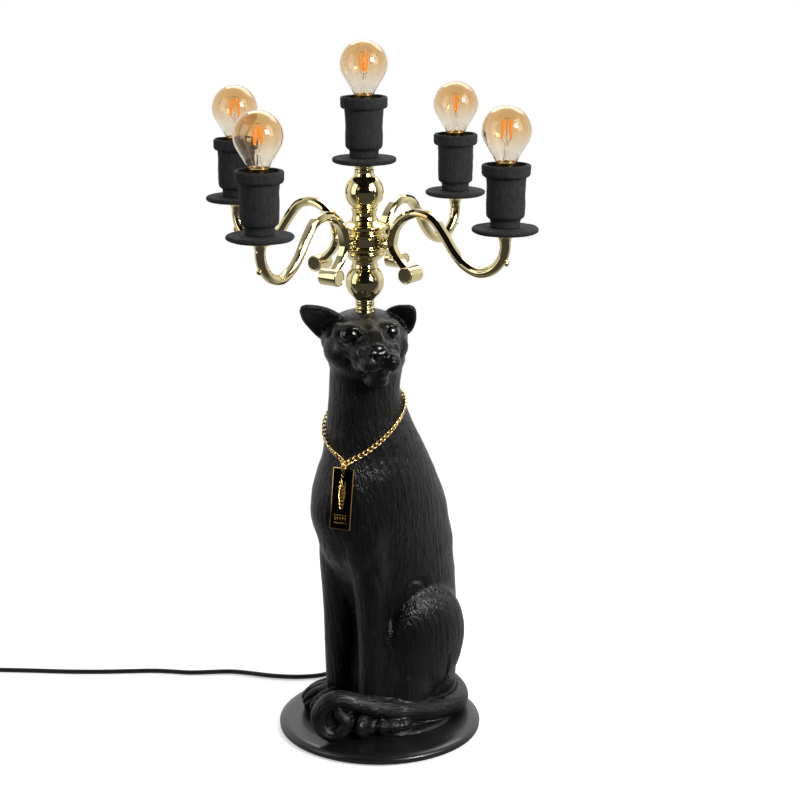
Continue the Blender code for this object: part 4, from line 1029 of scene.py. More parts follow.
    def make_switch(self) -> list[Piece]:
        """Make the inline switch: two half shells, their grips and the rocker.

        Returns:
            The case and the rocker.
        """
        low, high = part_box("switch_body")
        middle = (low + high) / 2
        size = (high - low) / MM
        case = bmesh.new()
        bmesh.ops.create_cube(case, size=1.0, matrix=Matrix.Diagonal((size.x * MM, size.y * MM,
                                                                      size.z * MM, 1.0)))
        ends = [e for e in case.edges if abs(e.verts[0].co.x - e.verts[1].co.x) < 1e-6
                and abs(e.verts[0].co.y - e.verts[1].co.y) < 1e-6]
        bmesh.ops.bevel(case, geom=ends, offset=8.0 * MM, segments=8, profile=0.5, affect="EDGES",
                        material=-1)
        rims = [e for e in case.edges if abs(abs(e.verts[0].co.z) - size.z * MM / 2) < 1e-6
                and abs(e.verts[0].co.z - e.verts[1].co.z) < 1e-6 and len(e.link_faces) == 2
                and abs(e.calc_face_angle(0.0)) > 0.5]
        bmesh.ops.bevel(case, geom=rims, offset=2.6 * MM, segments=4, profile=0.5, affect="EDGES",
                        material=-1)
        bmesh.ops.transform(case, matrix=Matrix.Translation(middle), verts=case.verts[:])
        cutters = []
        well = bmesh.new()
        block(well, (19.4, 10.8, 12.0), Matrix.Translation((middle.x, middle.y, high.z)), 0.5, 2)
        cutters.append(well)
        seam = bmesh.new()
        for sign in (-1, 1):
            block(seam, (size.x * 0.7, 1.2, 0.5),
                  Matrix.Translation((middle.x, middle.y + sign * size.y / 2 * MM, middle.z)))
        cutters.append(seam)
        grips = bmesh.new()
        for sign in (-1, 1):
            for k in range(4):
                block(grips, (0.8, 9.0, 1.0), Matrix.Translation(
                    (middle.x + sign * (17.0 + 2.4 * k) * MM, middle.y, high.z)))
        cutters.append(grips)
        case = joined(case, cutters, "DIFFERENCE")
        body = settle("inline_switch", case, PLASTIC, stands_for=("switch_body",), sharp=28)
        return [body, self.make_rocker(middle.x, middle.y, high.z)]

    def make_rocker(self, x: float, y: float, top: float) -> Piece:
        """Make the rocker, with its dished halves and a grip line.

        Args:
            x: the rocker's middle.
            y: the cord's line.
            top: height of the case's top.

        Returns:
            The rocker.
        """
        shape = bmesh.new()
        half = 9.0
        outline = [(-half, -0.8), (-half, 1.2), (-half * 0.5, 1.35), (-1.0, 2.1), (0.0, 2.2), (1.0, 2.1),
                   (half * 0.5, 1.35), (half, 1.2), (half, -0.8), (0.0, -3.0)]
        dots = [shape.verts.new((u * MM, -4.95 * MM, v * MM)) for u, v in outline]
        face = shape.faces.new(dots)
        pulled = bmesh.ops.extrude_face_region(shape, geom=[face])["geom"]
        bmesh.ops.translate(shape, vec=(0, 9.9 * MM, 0),
                            verts=[g for g in pulled if isinstance(g, bmesh.types.BMVert)])
        outwards(shape)
        bmesh.ops.bevel(shape, geom=shape.edges[:], offset=0.28 * MM, segments=2, profile=0.5,
                        affect="EDGES", material=-1)
        tilt = Matrix.Rotation(radians(7.0), 4, "Y")
        bmesh.ops.transform(shape, matrix=Matrix.Translation((x, y, top - 1.0 * MM)) @ tilt,
                            verts=shape.verts[:])
        return settle("rocker_key", shape, PLASTIC, "rocker", ("switch_rocker",), 30)

    def make_plug(self) -> list[Piece]:
        """Make the flat plug: a waisted body with a grip, its relief and two sleeved pins.

        Returns:
            The plug's body and its pins.
        """
        low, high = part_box("plug")
        y, z = (low.y + high.y) / 2, (low.z + high.z) / 2
        relief, body_length = 16.0, 36.0
        start = low.x + relief * MM
        stations = []
        rows = ((0.0, 4.2, 3.9), (1.0, 5.4, 4.9), (5.0, 8.2, 5.7), (11.0, 11.6, 6.6), (17.0, 12.7, 6.9),
                (23.0, 12.4, 6.6), (28.0, 12.6, 6.9), (34.6, 12.9, 6.9), (36.0, 12.0, 6.1))
        sides = 32
        for x, half_width, half_height in rows:
            outline = []
            for k in range(sides):
                a = 2 * pi * k / sides
                c, s = cos(a), sin(a)
                outline.append(Vector((copysign(abs(c) ** 0.55, c) * half_height * MM,
                                       copysign(abs(s) ** 0.55, s) * half_width * MM, 0)))
            turn_up = Matrix.Rotation(pi / 2, 4, "Y")
            stations.append((Matrix.Translation((start + x * MM, y, z)) @ turn_up, outline))
        shape = bmesh.new()
        loft(shape, stations)
        outwards(shape)
        corners = [(0.0, 0.0, 0.0), (3.0, 0.0, 0.3)]
        for k in range(5):
            near, radius = 1.6 + k * 2.9, 3.3 + 0.22 * k
            corners += [(radius - 0.5, near - 0.4, 0.1), (radius, near, 0.2), (radius, near + 1.6, 0.2),
                        (radius - 0.4, near + 2.0, 0.1)]
        corners += [(4.1, relief, 0.2), (4.1, relief + 4.0, 0.2), (0.0, relief + 4.0, 0.0)]
        lie = Matrix.Translation((low.x, y, z)) @ Matrix.Rotation(pi / 2, 4, "Y")
        sleeve = turn(fillet(corners, 2), 32, place=lie)
        shape = joined(shape, [sleeve])
        body = settle("mains_plug", shape, PLASTIC, stands_for=("plug",), sharp=40)
        pins = bmesh.new()
        for side in (-1, 1):
            at = Matrix.Translation((start + (body_length - 1.0) * MM, y + side * 9.3 * MM, z))
            upright = at @ Matrix.Rotation(pi / 2, 4, "Y")
            turn(fillet([(0, 20.0, 0), (1.1, 20.0, 0.3), (2.0, 18.6, 0.5), (2.0, 11.2, 0.0),
                         (0, 11.2, 0)], 3), 24, pins, upright)
            before = len(pins.faces)
            turn(fillet([(0, 11.19, 0), (1.9, 11.19, 0.2), (1.9, 0.0, 0.0), (0, 0.0, 0)], 3), 24,
                 pins, upright)
            pins.faces.ensure_lookup_table()
            for face in pins.faces[before:]:
                face.material_index = 1
        tips = settle("plug_pins", pins, PIN, sharp=35, extra=(PLASTIC,))
        return [body, tips]


# ---------------- base
@dataclass
class Base:
    """The lacquered disc under the figure, and what holds the lamp together beneath it."""

    edge_in: float = 9.0      # the rounded edge: how far in it starts, and how far down it ends
    edge_down: float = 4.4

    def build(self) -> None:
        """Make the disc and finish the pieces under it."""
        self.make_disc()
        for node, look in (("base_pad", PAD), ("threaded_rod", ZINC), ("rod_nut", ZINC)):
            dress(node, look)

    def make_disc(self) -> None:
        """Turn the disc, with its rounded edge, nut pocket and cord groove."""
        low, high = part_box("base_plate")
        x, y = (low.x + high.x) / 2, (low.y + high.y) / 2
        radius = (high.x - low.x) / 2 / MM
        top, bottom = high.z / MM, low.z / MM
        rim = [(radius + self.edge_in * (cos(a) - 1), top + self.edge_down * (sin(a) - 1))
               for a in (radians(90 - 7.5 * k) for k in range(13))]
        profile = [(0.0, top), (radius * 0.5, top), (radius * 0.8, top)] + rim
        profile += fillet([rim[-1] + (0.0,), (radius - 0.4, bottom, 0.6), (radius - 3.0, bottom, 0.0)], 4)
        profile += [(0.0, bottom)]
        disc = turn(profile, 160, place=Matrix.Translation((x, y, 0)))
        pocket = turn([(0.0, bottom + 5.8), (12.5, bottom + 5.8), (12.5, bottom - 1.0),
                       (0.0, bottom - 1.0)], 48)
        hole = turn([(0.0, top + 1.0), (5.3, top + 1.0), (5.3, bottom - 1.5), (0.0, bottom - 1.5)], 32)
        groove = bmesh.new()
        length = y / MM + radius + 2.0 - 6.0
        block(groove, (7.2, length, 13.6), Matrix.Translation((x, (6.0 + length / 2) * MM, bottom * MM)))
        disc = joined(disc, [joined(pocket, [hole, groove])], "DIFFERENCE")
        settle("lacquered_disc", disc, BOARD, stands_for=("base_plate",), sharp=30)


def dress(node: str, look: Finish) -> None:
    """Give a CAD node that stays its finish.

    Args:
        node: the node's name.
        look: the finish.
    """
    kept = frame["nodes"][node]
    kept.data.materials.clear()
    kept.data.materials.append(look.material())
    kept.data.shade_smooth()
    kept.data.set_sharp_from_angle(angle=radians(30))


# ---------------- panther
@dataclass
class Clay:
    """A skin that is being sculpted: its mesh, its points and their normals, in metres."""

    mesh: Mesh
    spots: np.ndarray = field(init=False)
    ways: np.ndarray = field(init=False)

    def __post_init__(self) -> None:
        """Read the points and normals."""
        self.refresh()

    def refresh(self) -> None:
        """Read the points and normals again."""
        self.spots = points_of(self.mesh)
        self.ways = normals_of(self.mesh)

    def store(self) -> None:
        """Write the moved points back and renew the normals."""
        self.mesh.vertices.foreach_set("co", self.spots.ravel())
        self.mesh.update()
        self.refresh()

    def near(self, low: np.ndarray, high: np.ndarray) -> np.ndarray:
        """Pick the points inside a box."""
        return np.nonzero(np.all((self.spots > low) & (self.spots < high), axis=1))[0]

    def press(self, middle: Vector, sizes: Point, basis: Matrix, share: float = 1.0) -> None:
        """Push the skin out of an ellipsoid along its own -X axis, as a ball tool dents clay.

        Args:
            middle: the ellipsoid's middle, in metres.
            sizes: its half sizes, in millimetres.
            basis: its axes; the skin moves along -X.
            share: how much of the dent is made.
        """
        axes = np.array(basis.to_3x3().transposed())
        size = np.array(sizes) * MM
        reach = float(size.max())
        centre = np.array(middle)
        picked = self.near(centre - reach, centre + reach)
        own = (self.spots[picked] - centre) @ axes.T / size
        across = own[:, 1] ** 2 + own[:, 2] ** 2
        inside = np.nonzero((across < 1) & (np.abs(own[:, 0]) < 1.0))[0]
        bottom = -np.sqrt(1 - across[inside])
        drop = np.maximum(own[inside, 0] - bottom, 0.0) * size[0] * share
        self.spots[picked[inside]] -= drop[:, None] * axes[0]

    def stroke(self, line: list[Vector], width: float, height: float, ends: float = 1.0) -> None:
        """Raise or cut a line along the skin.

        Args:
            line: the line's points, in metres.
            width: its half width, in millimetres.
            height: how far it stands, in millimetres; negative cuts.
            ends: how much of the height the two ends keep.
        """
        knots = np.array([p[:] for p in line])
        reach = 3 * width * MM
        picked = self.near(knots.min(0) - reach, knots.max(0) + reach)
        spots = self.spots[picked]
        best = np.full(len(spots), 1e9)
        share = np.zeros(len(spots))
        spans = len(knots) - 1
        for k in range(spans):
            start, run = knots[k], knots[k + 1] - knots[k]
            u = np.clip(((spots - start) @ run) / max(run @ run, 1e-12), 0, 1)
            gap = np.linalg.norm(spots - start - u[:, None] * run, axis=1)
            closer = gap < best
            best = np.where(closer, gap, best)
            share = np.where(closer, (k + u) / spans, share)
        taper = ends + (1 - ends) * np.sin(np.pi * share)
        move = height * MM * taper * np.exp(-(best / (width * MM)) ** 2)
        self.spots[picked] += self.ways[picked] * move[:, None]

    def swell(self, middle: Vector, radius: float, height: float) -> None:
        """Raise or lower a round patch along the skin's normals.

        Args:
            middle: the patch's middle, in metres.
            radius: its radius, in millimetres.
            height: how far it moves, in millimetres.
        """
        reach = 2 * radius * MM
        picked = self.near(np.array(middle) - reach, np.array(middle) + reach)
        gap = np.linalg.norm(self.spots[picked] - np.array(middle), axis=1) / (radius * MM)
        move = height * MM * np.exp(-gap ** 2 * 2)
        self.spots[picked] += self.ways[picked] * move[:, None]


@dataclass
class Panther:
    """The seated figure: one casting, modelled from masses, then sculpted and engraved."""

    floor: float = 0.0103                       # top of the disc, in metres
    body_bearing: float = radians(-142.0)
    head_bearing: float = radians(-77.0)
    face_bearing: float = radians(-72.0)
    face_middle: float = -5.8
    voxel: float = 1.0
    most_faces: int = 190_000
    torso: tuple = (
        (0, -46, 54, 46), (40, -48, 56, 50), (92, -50, 55, 48), (134, -43, 61, 46), (155, -36, 67, 45),
        (176, -29, 74, 45), (197, -22, 75, 46), (217, -16.5, 76, 48), (238, -12.7, 71, 47),
        (258, -10.8, 63, 45), (278, -10.0, 54, 41), (299, -5.7, 47, 37), (319, -2, 41, 33.5),
        (339, 1, 36, 31.5), (362, -1.5, 36.5, 33), (374, -3, 36.5, 34), (386, -4, 36, 34),
    )
    haunch: tuple = ((-46, 39.5, 84, 45, 23, 58), (-24, 40, 40, 26, 17, 34))
    hind_foot: tuple = ((-14, 44, 9, 40, 12, 11),)
    trunk: tuple = ((-74, 0, 40, 32, 36, 40), (-6, 26, 50, 22, 20, 62), (-6, -26, 50, 22, 20, 62),
                    (24, 0, 224, 32, 35, 40), (18, 22, 200, 26, 22, 46), (16, -21, 200, 25, 21, 44))
    legs: tuple = (
        ((14, 21, 215, 24), (14, 23, 165, 19), (12.5, 24.5, 120, 16), (12, 24.5, 60, 14.5),
         (12, 24.5, 24, 15)),
        ((14, -21, 215, 22), (16, -24, 165, 19), (14.5, -26, 120, 16.2), (13, -27.5, 60, 14.8),
         (10, -29.5, 24, 15.3)),
    )
    paws: tuple = ((12, 24.5, 4.0), (10, -30, 32.0))
    hind_toes: tuple = ((3, -44, 8, 11, 8.5), (14, -44, 7.2, 12, 9), (25, -42, 7.2, 12, 9),
                        (36, -38, 8.5, 12, 8.5), (19, -42, 24, 11.6, 8.4))
    skull: tuple = ((-3, 0, 389, 39, 42.5, 29), (6, 0, 371, 34, 38, 21))
    # forward, side, height and half sizes: first what lies on the face's middle, then the pairs
    face: tuple = (
        (36, 0, 379, 24, 17, 15), (26, 0, 401, 20, 14, 12), (55, -1, 384, 9, 6.5, 7),
        (53, 0, 376.5, 12, 8, 8), (48.5, 0, 366.0, 10.5, 10, 5.4), (43.5, 0, 359.0, 13, 12.5, 7.5),
    )
    face_pairs: tuple = (
        (52.5, 8.4, 379.0, 15, 11.6, 11.6), (38.5, 12.5, 377, 15, 10, 11),
        (32.5, 19.5, 408.6, 8.5, 11.5, 4.4), (31.2, 20.5, 396.2, 8, 10.5, 4.8),
        (21.5, 27.5, 403, 9, 6, 9), (37.5, 11, 401.5, 7, 4.6, 8),
        (31.5, 20, 388, 10, 10, 9), (14, 26, 385, 20, 14.5, 18), (26, 17, 406, 12, 11, 6),
        (38, 15, 386, 16, 9, 12), (44, 9.5, 391, 12, 7, 9),
    )
    nose: tuple = (
        (60.8, -1.8, 388.6, 6.4, 10.2, 5.4), (61.6, 3.6, 389.8, 4.8, 5.2, 4.6),
        (61.6, -7.2, 389.8, 4.8, 5.2, 4.6), (57, -1.5, 394, 7, 8.6, 4.5),
    )
    # root and tip (x, y, height above the disc), half widths from root to tip, and where it looks
    ears: tuple = (
        ((-30.5, -2, 398), (-56.0, -6, 418), (15, 16.5, 15, 11.5, 6), (-0.5, -0.83, -0.2)),
        ((29.0, 10, 399.5), (43.2, 9, 414.0), (10.5, 13.8, 13, 10, 5), (0.3, -0.93, 0.05)),
    )
    tail: tuple = (
        (64, 54, 16, 12), (79, 58, 13, 12), (90, 42, 11, 11), (93, 22, 10.5, 10.5), (89, 5, 10.5, 10.5),
        (78, -7, 10.5, 10.5), (64, -17, 12, 10.5), (43, -30, 18, 10.2), (22, -41, 24, 9.8),
        (4, -48, 30, 9.4), (-12, -53, 37, 9.0), (-27, -56, 42, 8.6), (-40, -59, 38, 8.2),
        (-47, -62, 27, 7.8), (-43, -64, 14, 7.4), (-33, -65, 8, 7.0), (-23, -64, 13, 6.6),
        (-21, -62, 22, 6.2), (-28, -60, 28, 5.8),
    )
    surface: BVHTree | None = None

    # -------- places
    def axes(self, bearing: float) -> tuple[Vector, Vector]:
        """Forward and left at a bearing."""
        ahead = Vector((cos(bearing), sin(bearing), 0.0))
        return ahead, Vector((-ahead.y, ahead.x, 0.0))

    def on_body(self, forward: float, side: float, height: float) -> Vector:
        """A point of the body, from millimetres forward, to the left and above the disc."""
        ahead, left = self.axes(self.body_bearing)
        return (ahead * forward + left * side + Vector((0, 0, height))) * MM + Vector((0, 0, self.floor))

    def on_head(self, forward: float, side: float, height: float) -> Vector:
        """A point of the head, from millimetres forward, to the left and above the disc."""
        ahead, left = self.axes(self.head_bearing)
        return (ahead * forward + left * side + Vector((0, 0, height))) * MM + Vector((0, 0, self.floor))

    def on_face(self, forward: float, side: float, height: float) -> Vector:
        """A point of the face, its side measured from the face's own middle, which leans."""
        ahead, left = self.axes(self.face_bearing)
        middle = self.face_middle + min(2.6, 0.2 * max(0.0, 390 - height))
        flat = ahead * forward + left * (side + middle) + Vector((0, 0, height))
        return flat * MM + Vector((0, 0, self.floor))

    # -------- masses
    def masses(self, shape: BMesh, rows: tuple, place: Callable[..., Vector], bearing: float,
               sides: tuple[int, ...] = (1,)) -> None:
        """Add rows of rounded masses.

        Args:
            shape: the bmesh to add to.
            rows: forward, side, height and three half sizes of each mass.
            place: the method that places a point.
            bearing: the bearing of the first half size.
            sides: 1, and -1 for the mirrored masses.
        """
        for forward, side, height, *sizes in rows:
            for sign in sides:
                ball(shape, place(forward, side * sign, height), tuple(sizes),
                     Matrix.Rotation(bearing, 4, "Z"))

    def trunk_form(self, shape: BMesh) -> None:
        """Add the torso, the haunches, the legs, the foot of the casting and the skull.

        Args:
            shape: the bmesh to add to.
        """
        turned_by = Matrix.Rotation(self.body_bearing, 4, "Z")
        stations = []
        knots = [Vector(row[1:]) for row in self.torso]
        heights = [p.x for p in smooth_path([Vector((row[0], 0, 0)) for row in self.torso], 3)]
        for height, row in zip(heights, smooth_path(knots, 3)):
            forward, depth, width = row
            outline = [Vector((depth * cos(a) * MM, width * sin(a) * MM, 0))
                       for a in (2 * pi * k / 48 for k in range(48))]
            stations.append((Matrix.Translation(self.on_body(forward, 0, height)) @ turned_by, outline))
        loft(shape, stations)
        self.masses(shape, self.trunk, self.on_body, self.body_bearing)
        self.masses(shape, self.skull, self.on_head, self.head_bearing)
        self.masses(shape, self.haunch + self.hind_foot, self.on_body, self.body_bearing, (1, -1))
        for leg in self.legs:
            self.limb(shape, [(self.on_body(f, s, h), r) for f, s, h, r in leg])
        bmesh.ops.create_cone(shape, cap_ends=True, segments=72, radius1=0.0625, radius2=0.0605,
                              depth=0.007, matrix=Matrix.Translation((0.026, 0.009, self.floor)))

    def limb(self, shape: BMesh, stations: list[tuple[Vector, float]],
             per_span: int = 6) -> None:
        """Add a round limb with round ends.

        Args:
            shape: the bmesh to add to.
            stations: a point in metres and a radius in millimetres, one after another.
            per_span: how many steps each span gets.
        """
        path = smooth_path([spot for spot, _ in stations], per_span)
        radii = [v.x for v in smooth_path([Vector((r, 0, 0)) for _, r in stations], per_span)]
        round_tube(shape, path, radii, 20)
        for end in (0, -1):
            ball(shape, path[end], (radii[end] * 0.995,) * 3)

    def ear_forms(self, shape: BMesh) -> None:
        """Add the ears."""
        for root, tip, widths, look in self.ears:
            self.ear_form(shape, root, tip, widths, look)

    def ear_form(self, shape: BMesh, root: Point, tip: Point,
                 widths: tuple[float, ...], look: Point) -> None:
        """Add an ear: a leaf that is cupped towards where it looks.

        Args:
            shape: the bmesh to add to.
            root: the middle of its foot: x, y and height above the disc, in millimetres.
            tip: its tip.
            widths: its half widths from foot to tip.
            look: the way that its hollow faces.
        """
        start, end = (Vector(p) * MM + Vector((0, 0, self.floor)) for p in (root, tip))
        along = (end - start).normalized()
        facing = (Vector(look) - along * Vector(look).dot(along)).normalized()
        across = facing.cross(along)
        axes = Matrix((across, facing, along)).transposed().to_4x4()
        rows = smooth_path([Vector((w, 0, 0)) for w in widths], 4)
        stations = []
        for i, row in enumerate(rows):
            share = i / (len(rows) - 1)
            width, thick = row.x, 2.3 + 3.8 * row.x / 18
            outline = []
            for k in range(40):
                a = 2 * pi * k / 40
                x, y = width * cos(a), thick * sin(a)
                if y > 0:
                    y -= thick * 1.3 * (1 - cos(a) ** 2) * min(1.0, 1.6 * (1.05 - share))
                outline.append(Vector((x, y - 0.12 * width * sin(pi * share), 0)) * MM)
            spot = start.lerp(end, share * 1.15 - 0.15)
            stations.append((Matrix.Translation(spot) @ axes, outline))
        loft(shape, stations)
        ends = [[place @ outline[k] for place, outline in stations[2:]] for k in (0, 20)]
        top = end + along * (widths[-1] * 0.55 * MM)
        rim = smooth_path(ends[0][::3] + [top] + ends[1][::3][::-1], 3)
        round_tube(shape, rim, [3.1] * len(rim), 10)

    def tail_path(self) -> tuple[list[Vector], list[float]]:
        """The tail's centreline, in metres, and its radii, in millimetres."""
        spots = [Vector(row[:3]) * MM + Vector((0, 0, self.floor)) for row in self.tail]
        path = smooth_path(spots, 8)
        radii = [v.x for v in smooth_path([Vector((row[3], 0, 0)) for row in self.tail], 8)]
        return path, radii

    def paw_form(self, shape: BMesh, forward: float, side: float, splay: float) -> None:
        """Add a front paw: the foot and its four toes, each with a knuckle.

        Args:
            shape: the bmesh to add to.
            forward: the wrist's place.
            side: the wrist's place.
            splay: how far the paw turns to the panther's right, in degrees.
        """
        bearing = self.body_bearing - radians(splay)
        ahead, left = self.axes(bearing)
        turned_by = Matrix.Rotation(bearing, 4, "Z")
        root = self.on_body(forward, side, 0)
        up = Vector((0, 0, 1))
        ball(shape, root + (ahead * 10 + up * 13) * MM, (24, 19, 16), turned_by)
        for spread, reach in ((-17.0, 22), (-5.8, 28), (5.8, 28), (17.0, 22)):
            fan = Matrix.Rotation(radians(spread * 0.9), 4, "Z")
            slope = Matrix.Rotation(radians(16), 4, "Y")
            toe = root + (ahead * reach + left * spread) * MM
            ball(shape, toe + up * 10.0 * MM, (12.0, 6.1, 11.0), fan @ turned_by)
            ball(shape, toe + (ahead * -9 + left * (-spread * 0.22) + up * 18.5) * MM, (20, 5.6, 8.6),
                 fan @ turned_by @ slope)

    def face_form(self, shape: BMesh) -> None:
        """Add the muzzle, nose, lids, lips and chin.

        Args:
            shape: the bmesh to add to.
        """
        facing = Matrix.Rotation(self.face_bearing, 4, "Z")
        down = Matrix.Rotation(radians(34), 4, "Y")
        block(shape, (22, 18.5, 9), Matrix.Translation(self.on_face(49.5, 0, 398.7)) @ facing @ down,
              2.2)
        self.masses(shape, self.face, self.on_face, self.face_bearing)
        for side in (-1, 1):
            out = self.face_bearing + side * radians(20)
            rows = tuple((f, s * side, *rest) for f, s, *rest in self.face_pairs)
            self.masses(shape, rows, self.on_face, out)

    def build(self) -> None:
        """Model, sculpt and engrave the figure, and keep its surface for what lies on it."""
        rough = bmesh.new()
        self.trunk_form(rough)
        form = self.skin_of(rough, 2.0, 8)
        middle = bmesh.new()
        self.face_form(middle)
        middle.from_mesh(form)
        form = self.skin_of(middle, 1.4, 9)
        fine = bmesh.new()
        self.ear_forms(fine)
        self.masses(fine, self.nose, self.on_face, self.face_bearing)
        for forward, side, splay in self.paws:
            self.paw_form(fine, forward, side, splay)
        for x, y, *sizes in self.hind_toes:
            ball(fine, Vector((x, y, 8.0)) * MM + Vector((0, 0, self.floor)), tuple(sizes))
        path, radii = self.tail_path()
        round_tube(fine, path, radii, 24)
        for end in (0, -1):
            ball(fine, path[end], (radii[end] * 0.99,) * 3)
        ball(fine, Vector((-33, -55, 19)) * MM + Vector((0, 0, self.floor)), (12, 7, 15))
        fine.from_mesh(form)
        voxel = self.voxel * 1.0
        mesh = self.skin_of(fine, voxel, 4)
        clay = Clay(mesh)
        self.sculpt_face(clay)
        clay.store()
        self.sculpt_folds(clay)
        self.sculpt_body(clay)
        clay.store()
        self.engrave(clay)
        self.finish_casting(clay.mesh)

    def skin_of(self, shape: BMesh, voxel: float, rounds: int) -> Mesh:
        """Grow one skin round overlapping masses and soften it.

        Args:
            shape: the masses, which are freed.
            voxel: the skin's step, in millimetres.
            rounds: how many times it is softened.

        Returns:
            The skin's mesh.
        """
        mesh = bpy.data.meshes.new("masses")
        shape.to_mesh(mesh)
        shape.free()
        body = bpy.data.objects.new("masses", mesh)
        bpy.context.scene.collection.objects.link(body)
        skin = body.modifiers.new("skin", "REMESH")
        skin.mode, skin.voxel_size = "VOXEL", voxel * MM
        soft = body.modifiers.new("soft", "SMOOTH")
        soft.factor, soft.iterations = 0.5, rounds
        result = evaluated(body)
        bpy.data.objects.remove(body, do_unlink=True)
        return result

    # -------- sculpting
    def strokes(self, clay: Clay, rows: tuple) -> None:
        """Raise or cut lines on both sides of the face.

        Args:
            clay: the skin.
            rows: each line's half width, height and share kept at its ends, and its points, as
                forward, side and height on the face.
        """
        for width, height, ends, *points in rows:
            for side in (-1, 1):
                line = smooth_path([self.on_face(f, s * side, h) for f, s, h in points], 4)
                clay.stroke(line, width, height, ends)

    def sculpt_face(self, clay: Clay) -> None:
        """Sink the eyes and the nostrils, and cut the philtrum, the mouth and the nose's edge.

        Args:
            clay: the skin.
        """
        facing = Matrix.Rotation(self.face_bearing, 4, "Z")
        for side in (-1, 1):
            out = Matrix.Rotation(self.face_bearing + side * radians(24), 4, "Z")
            wide = 8.4 if side < 0 else 7.2
            clay.press(self.on_face(43.5, side * 20.4, 403.2), (11.0, wide, 3.7), out)
            clay.press(self.on_face(67.5, side * 5.5 - 1.8, 386.8), (4.6, 2.6, 2.0), facing)
        self.strokes(clay, (
            (1.4, -2.6, 0.5, (65, 0, 374.0), (62, 6, 371.2), (57, 11.5, 368.2), (50, 15.5, 365.6),
             (43, 18.2, 364.6), (37, 20, 365.6)),
            (1.2, -0.9, 0.4, (63.0, 8.6, 386), (60.0, 10.0, 386.0), (57, 10.4, 390.0)),
            (1.3, -1.3, 0.3, (44, 11.4, 400.5), (48, 9.0, 394.5)),
            (1.2, -1.0, 0.3, (33.5, 29.6, 403.5), (29, 33.5, 403.5)),
            (1.6, -1.1, 0.3, (55, 8.6, 400.0), (48, 9.0, 405.5), (43, 9.2, 409.0)),
        ))
        split = [self.on_face(67.5, -1.6, 385.2), self.on_face(67, -0.6, 380), self.on_face(65, 0, 374)]
        clay.stroke(split, 1.2, -2.2, 0.9)
        chin = [(57.0, -6.0, 361.6), (58.0, 0.0, 361.0), (57.0, 6.0, 361.6)]
        clay.stroke([self.on_face(*p) for p in chin], 1.2, -0.8, 0.4)

    def sculpt_folds(self, clay: Clay) -> None:
        """Raise the lids, the folds under the eyes, the brows and the whisker rows.

        Args:
            clay: the skin.
        """
        lids = [
            (1.5, 1.5, 0.5, (43.4, 12.0, 404.8), (43.0, 17.0, 408.4), (40.0, 23.5, 408.8),
             (34.5, 29.5, 405.6)),
            (1.4, 1.2, 0.5, (43.2, 12.0, 400.4), (42.5, 18.0, 398.0), (39.0, 24.0, 398.4),
             (34.5, 29.0, 401.6)),
            (1.5, -0.4, 0.2, (44, 12.0, 408.6), (42, 18, 412.2), (37, 25, 411.6), (31, 31, 408)),
        ]
        for k in range(3):
            drop = 4.0 * k
            lids.append((1.35, 1.15 if k < 2 else 1.5, 0.2,
                         (44 - k, 11.5, 397 - 0.7 * drop), (43 - k, 15.0, 393.5 - drop),
                         (40 - k, 21.0, 391.5 - 1.05 * drop), (35 - k, 27.0, 393.5 - 0.8 * drop),
                         (31, 30.5, 397.5 - 0.6 * drop)))
            lids.append((1.0, -0.8, 0.2,
                         (44 - k, 12.0, 395.0 - 0.7 * drop), (43 - k, 15.6, 391.5 - drop),
                         (40 - k, 21.0, 389.5 - 1.05 * drop), (35 - k, 26.8, 391.5 - 0.8 * drop)))
        self.strokes(clay, tuple(lids))
        for side in (-1, 1):
            clay.swell(self.on_face(45.5, 1 + side * 5.0, 411.4), 2.6, 1.3)
            clay.swell(self.on_face(63.5, side * 4.8 - 1.8, 392.0), 2.4, 0.6)
            for row in range(3):
                for k in range(4):
                    dot = (64.0 - 1.0 * k - k * k * 0.55, side * (5.5 + 3.6 * k),
                           383.5 - 3.3 * row - 0.5 * k)
                    clay.swell(self.on_face(*dot), 1.9, 0.9)
            for k in range(5):
                lip = (57.0 - 0.9 * k, side * 2.6 * k, 366.2 + 0.3 * (k % 2))
                clay.swell(self.on_face(*lip), 1.6, 0.6)
        ridges = ((-37, -9, 404, -55, -12, 411), (-38, -9, 399, -54, -12, 405),
                  (-38, -9, 394, -50, -11, 399))
        for row in ridges:
            ends = [Vector(row[:3]) * MM, Vector(row[3:]) * MM]
            line = [p + Vector((0, 0, self.floor)) for p in ends]
            clay.stroke(self.onto(clay, smooth_path(line, 6)), 1.1, 0.8, 0.2)

    def sculpt_body(self, clay: Clay) -> None:
        """Cut the creases between the masses of the body, and the ridge along the tail.

        Args:
            clay: the skin.
        """
        creases = (
            (((64, 4, 170), (56, 2, 120), (46, 0, 70), (40, -1, 40)), 3.0, -1.6),
            (((30, 44, 180), (8, 46, 140), (4, 44, 105), (10, 44, 70)), 3.5, -1.8),
            (((4, 48, 120), (-16, 62, 148), (-44, 66, 146), (-72, 60, 130)), 3.2, -1.9),
            (((2, 50, 118), (8, 58, 84), (4, 60, 50), (0, 58, 24)), 4.0, -0.7),
            (((-56, 58, 70), (-58, 56, 45), (-52, 54, 22)), 2.2, -2.2),
        )
        for rows, width, depth in creases:
            line = smooth_path([self.on_body(*row) for row in rows], 6)
            clay.stroke(self.onto(clay, line), width, depth, 0.3)
        path, radii = self.tail_path()
        crest = [p + Vector((0, 0, r * MM)) for p, r in zip(path, radii)][20:110]
        clay.stroke(crest, 1.6, 0.9, 0.6)
        for forward, side, splay in self.paws:
            self.part_toes(clay, forward, side, splay)

    def onto(self, clay: Clay, line: list[Vector]) -> list[Vector]:
        """Drop a line onto the skin."""
        return [Vector(clay.spots[np.argmin(((clay.spots - np.array(p)) ** 2).sum(1))]) for p in line]

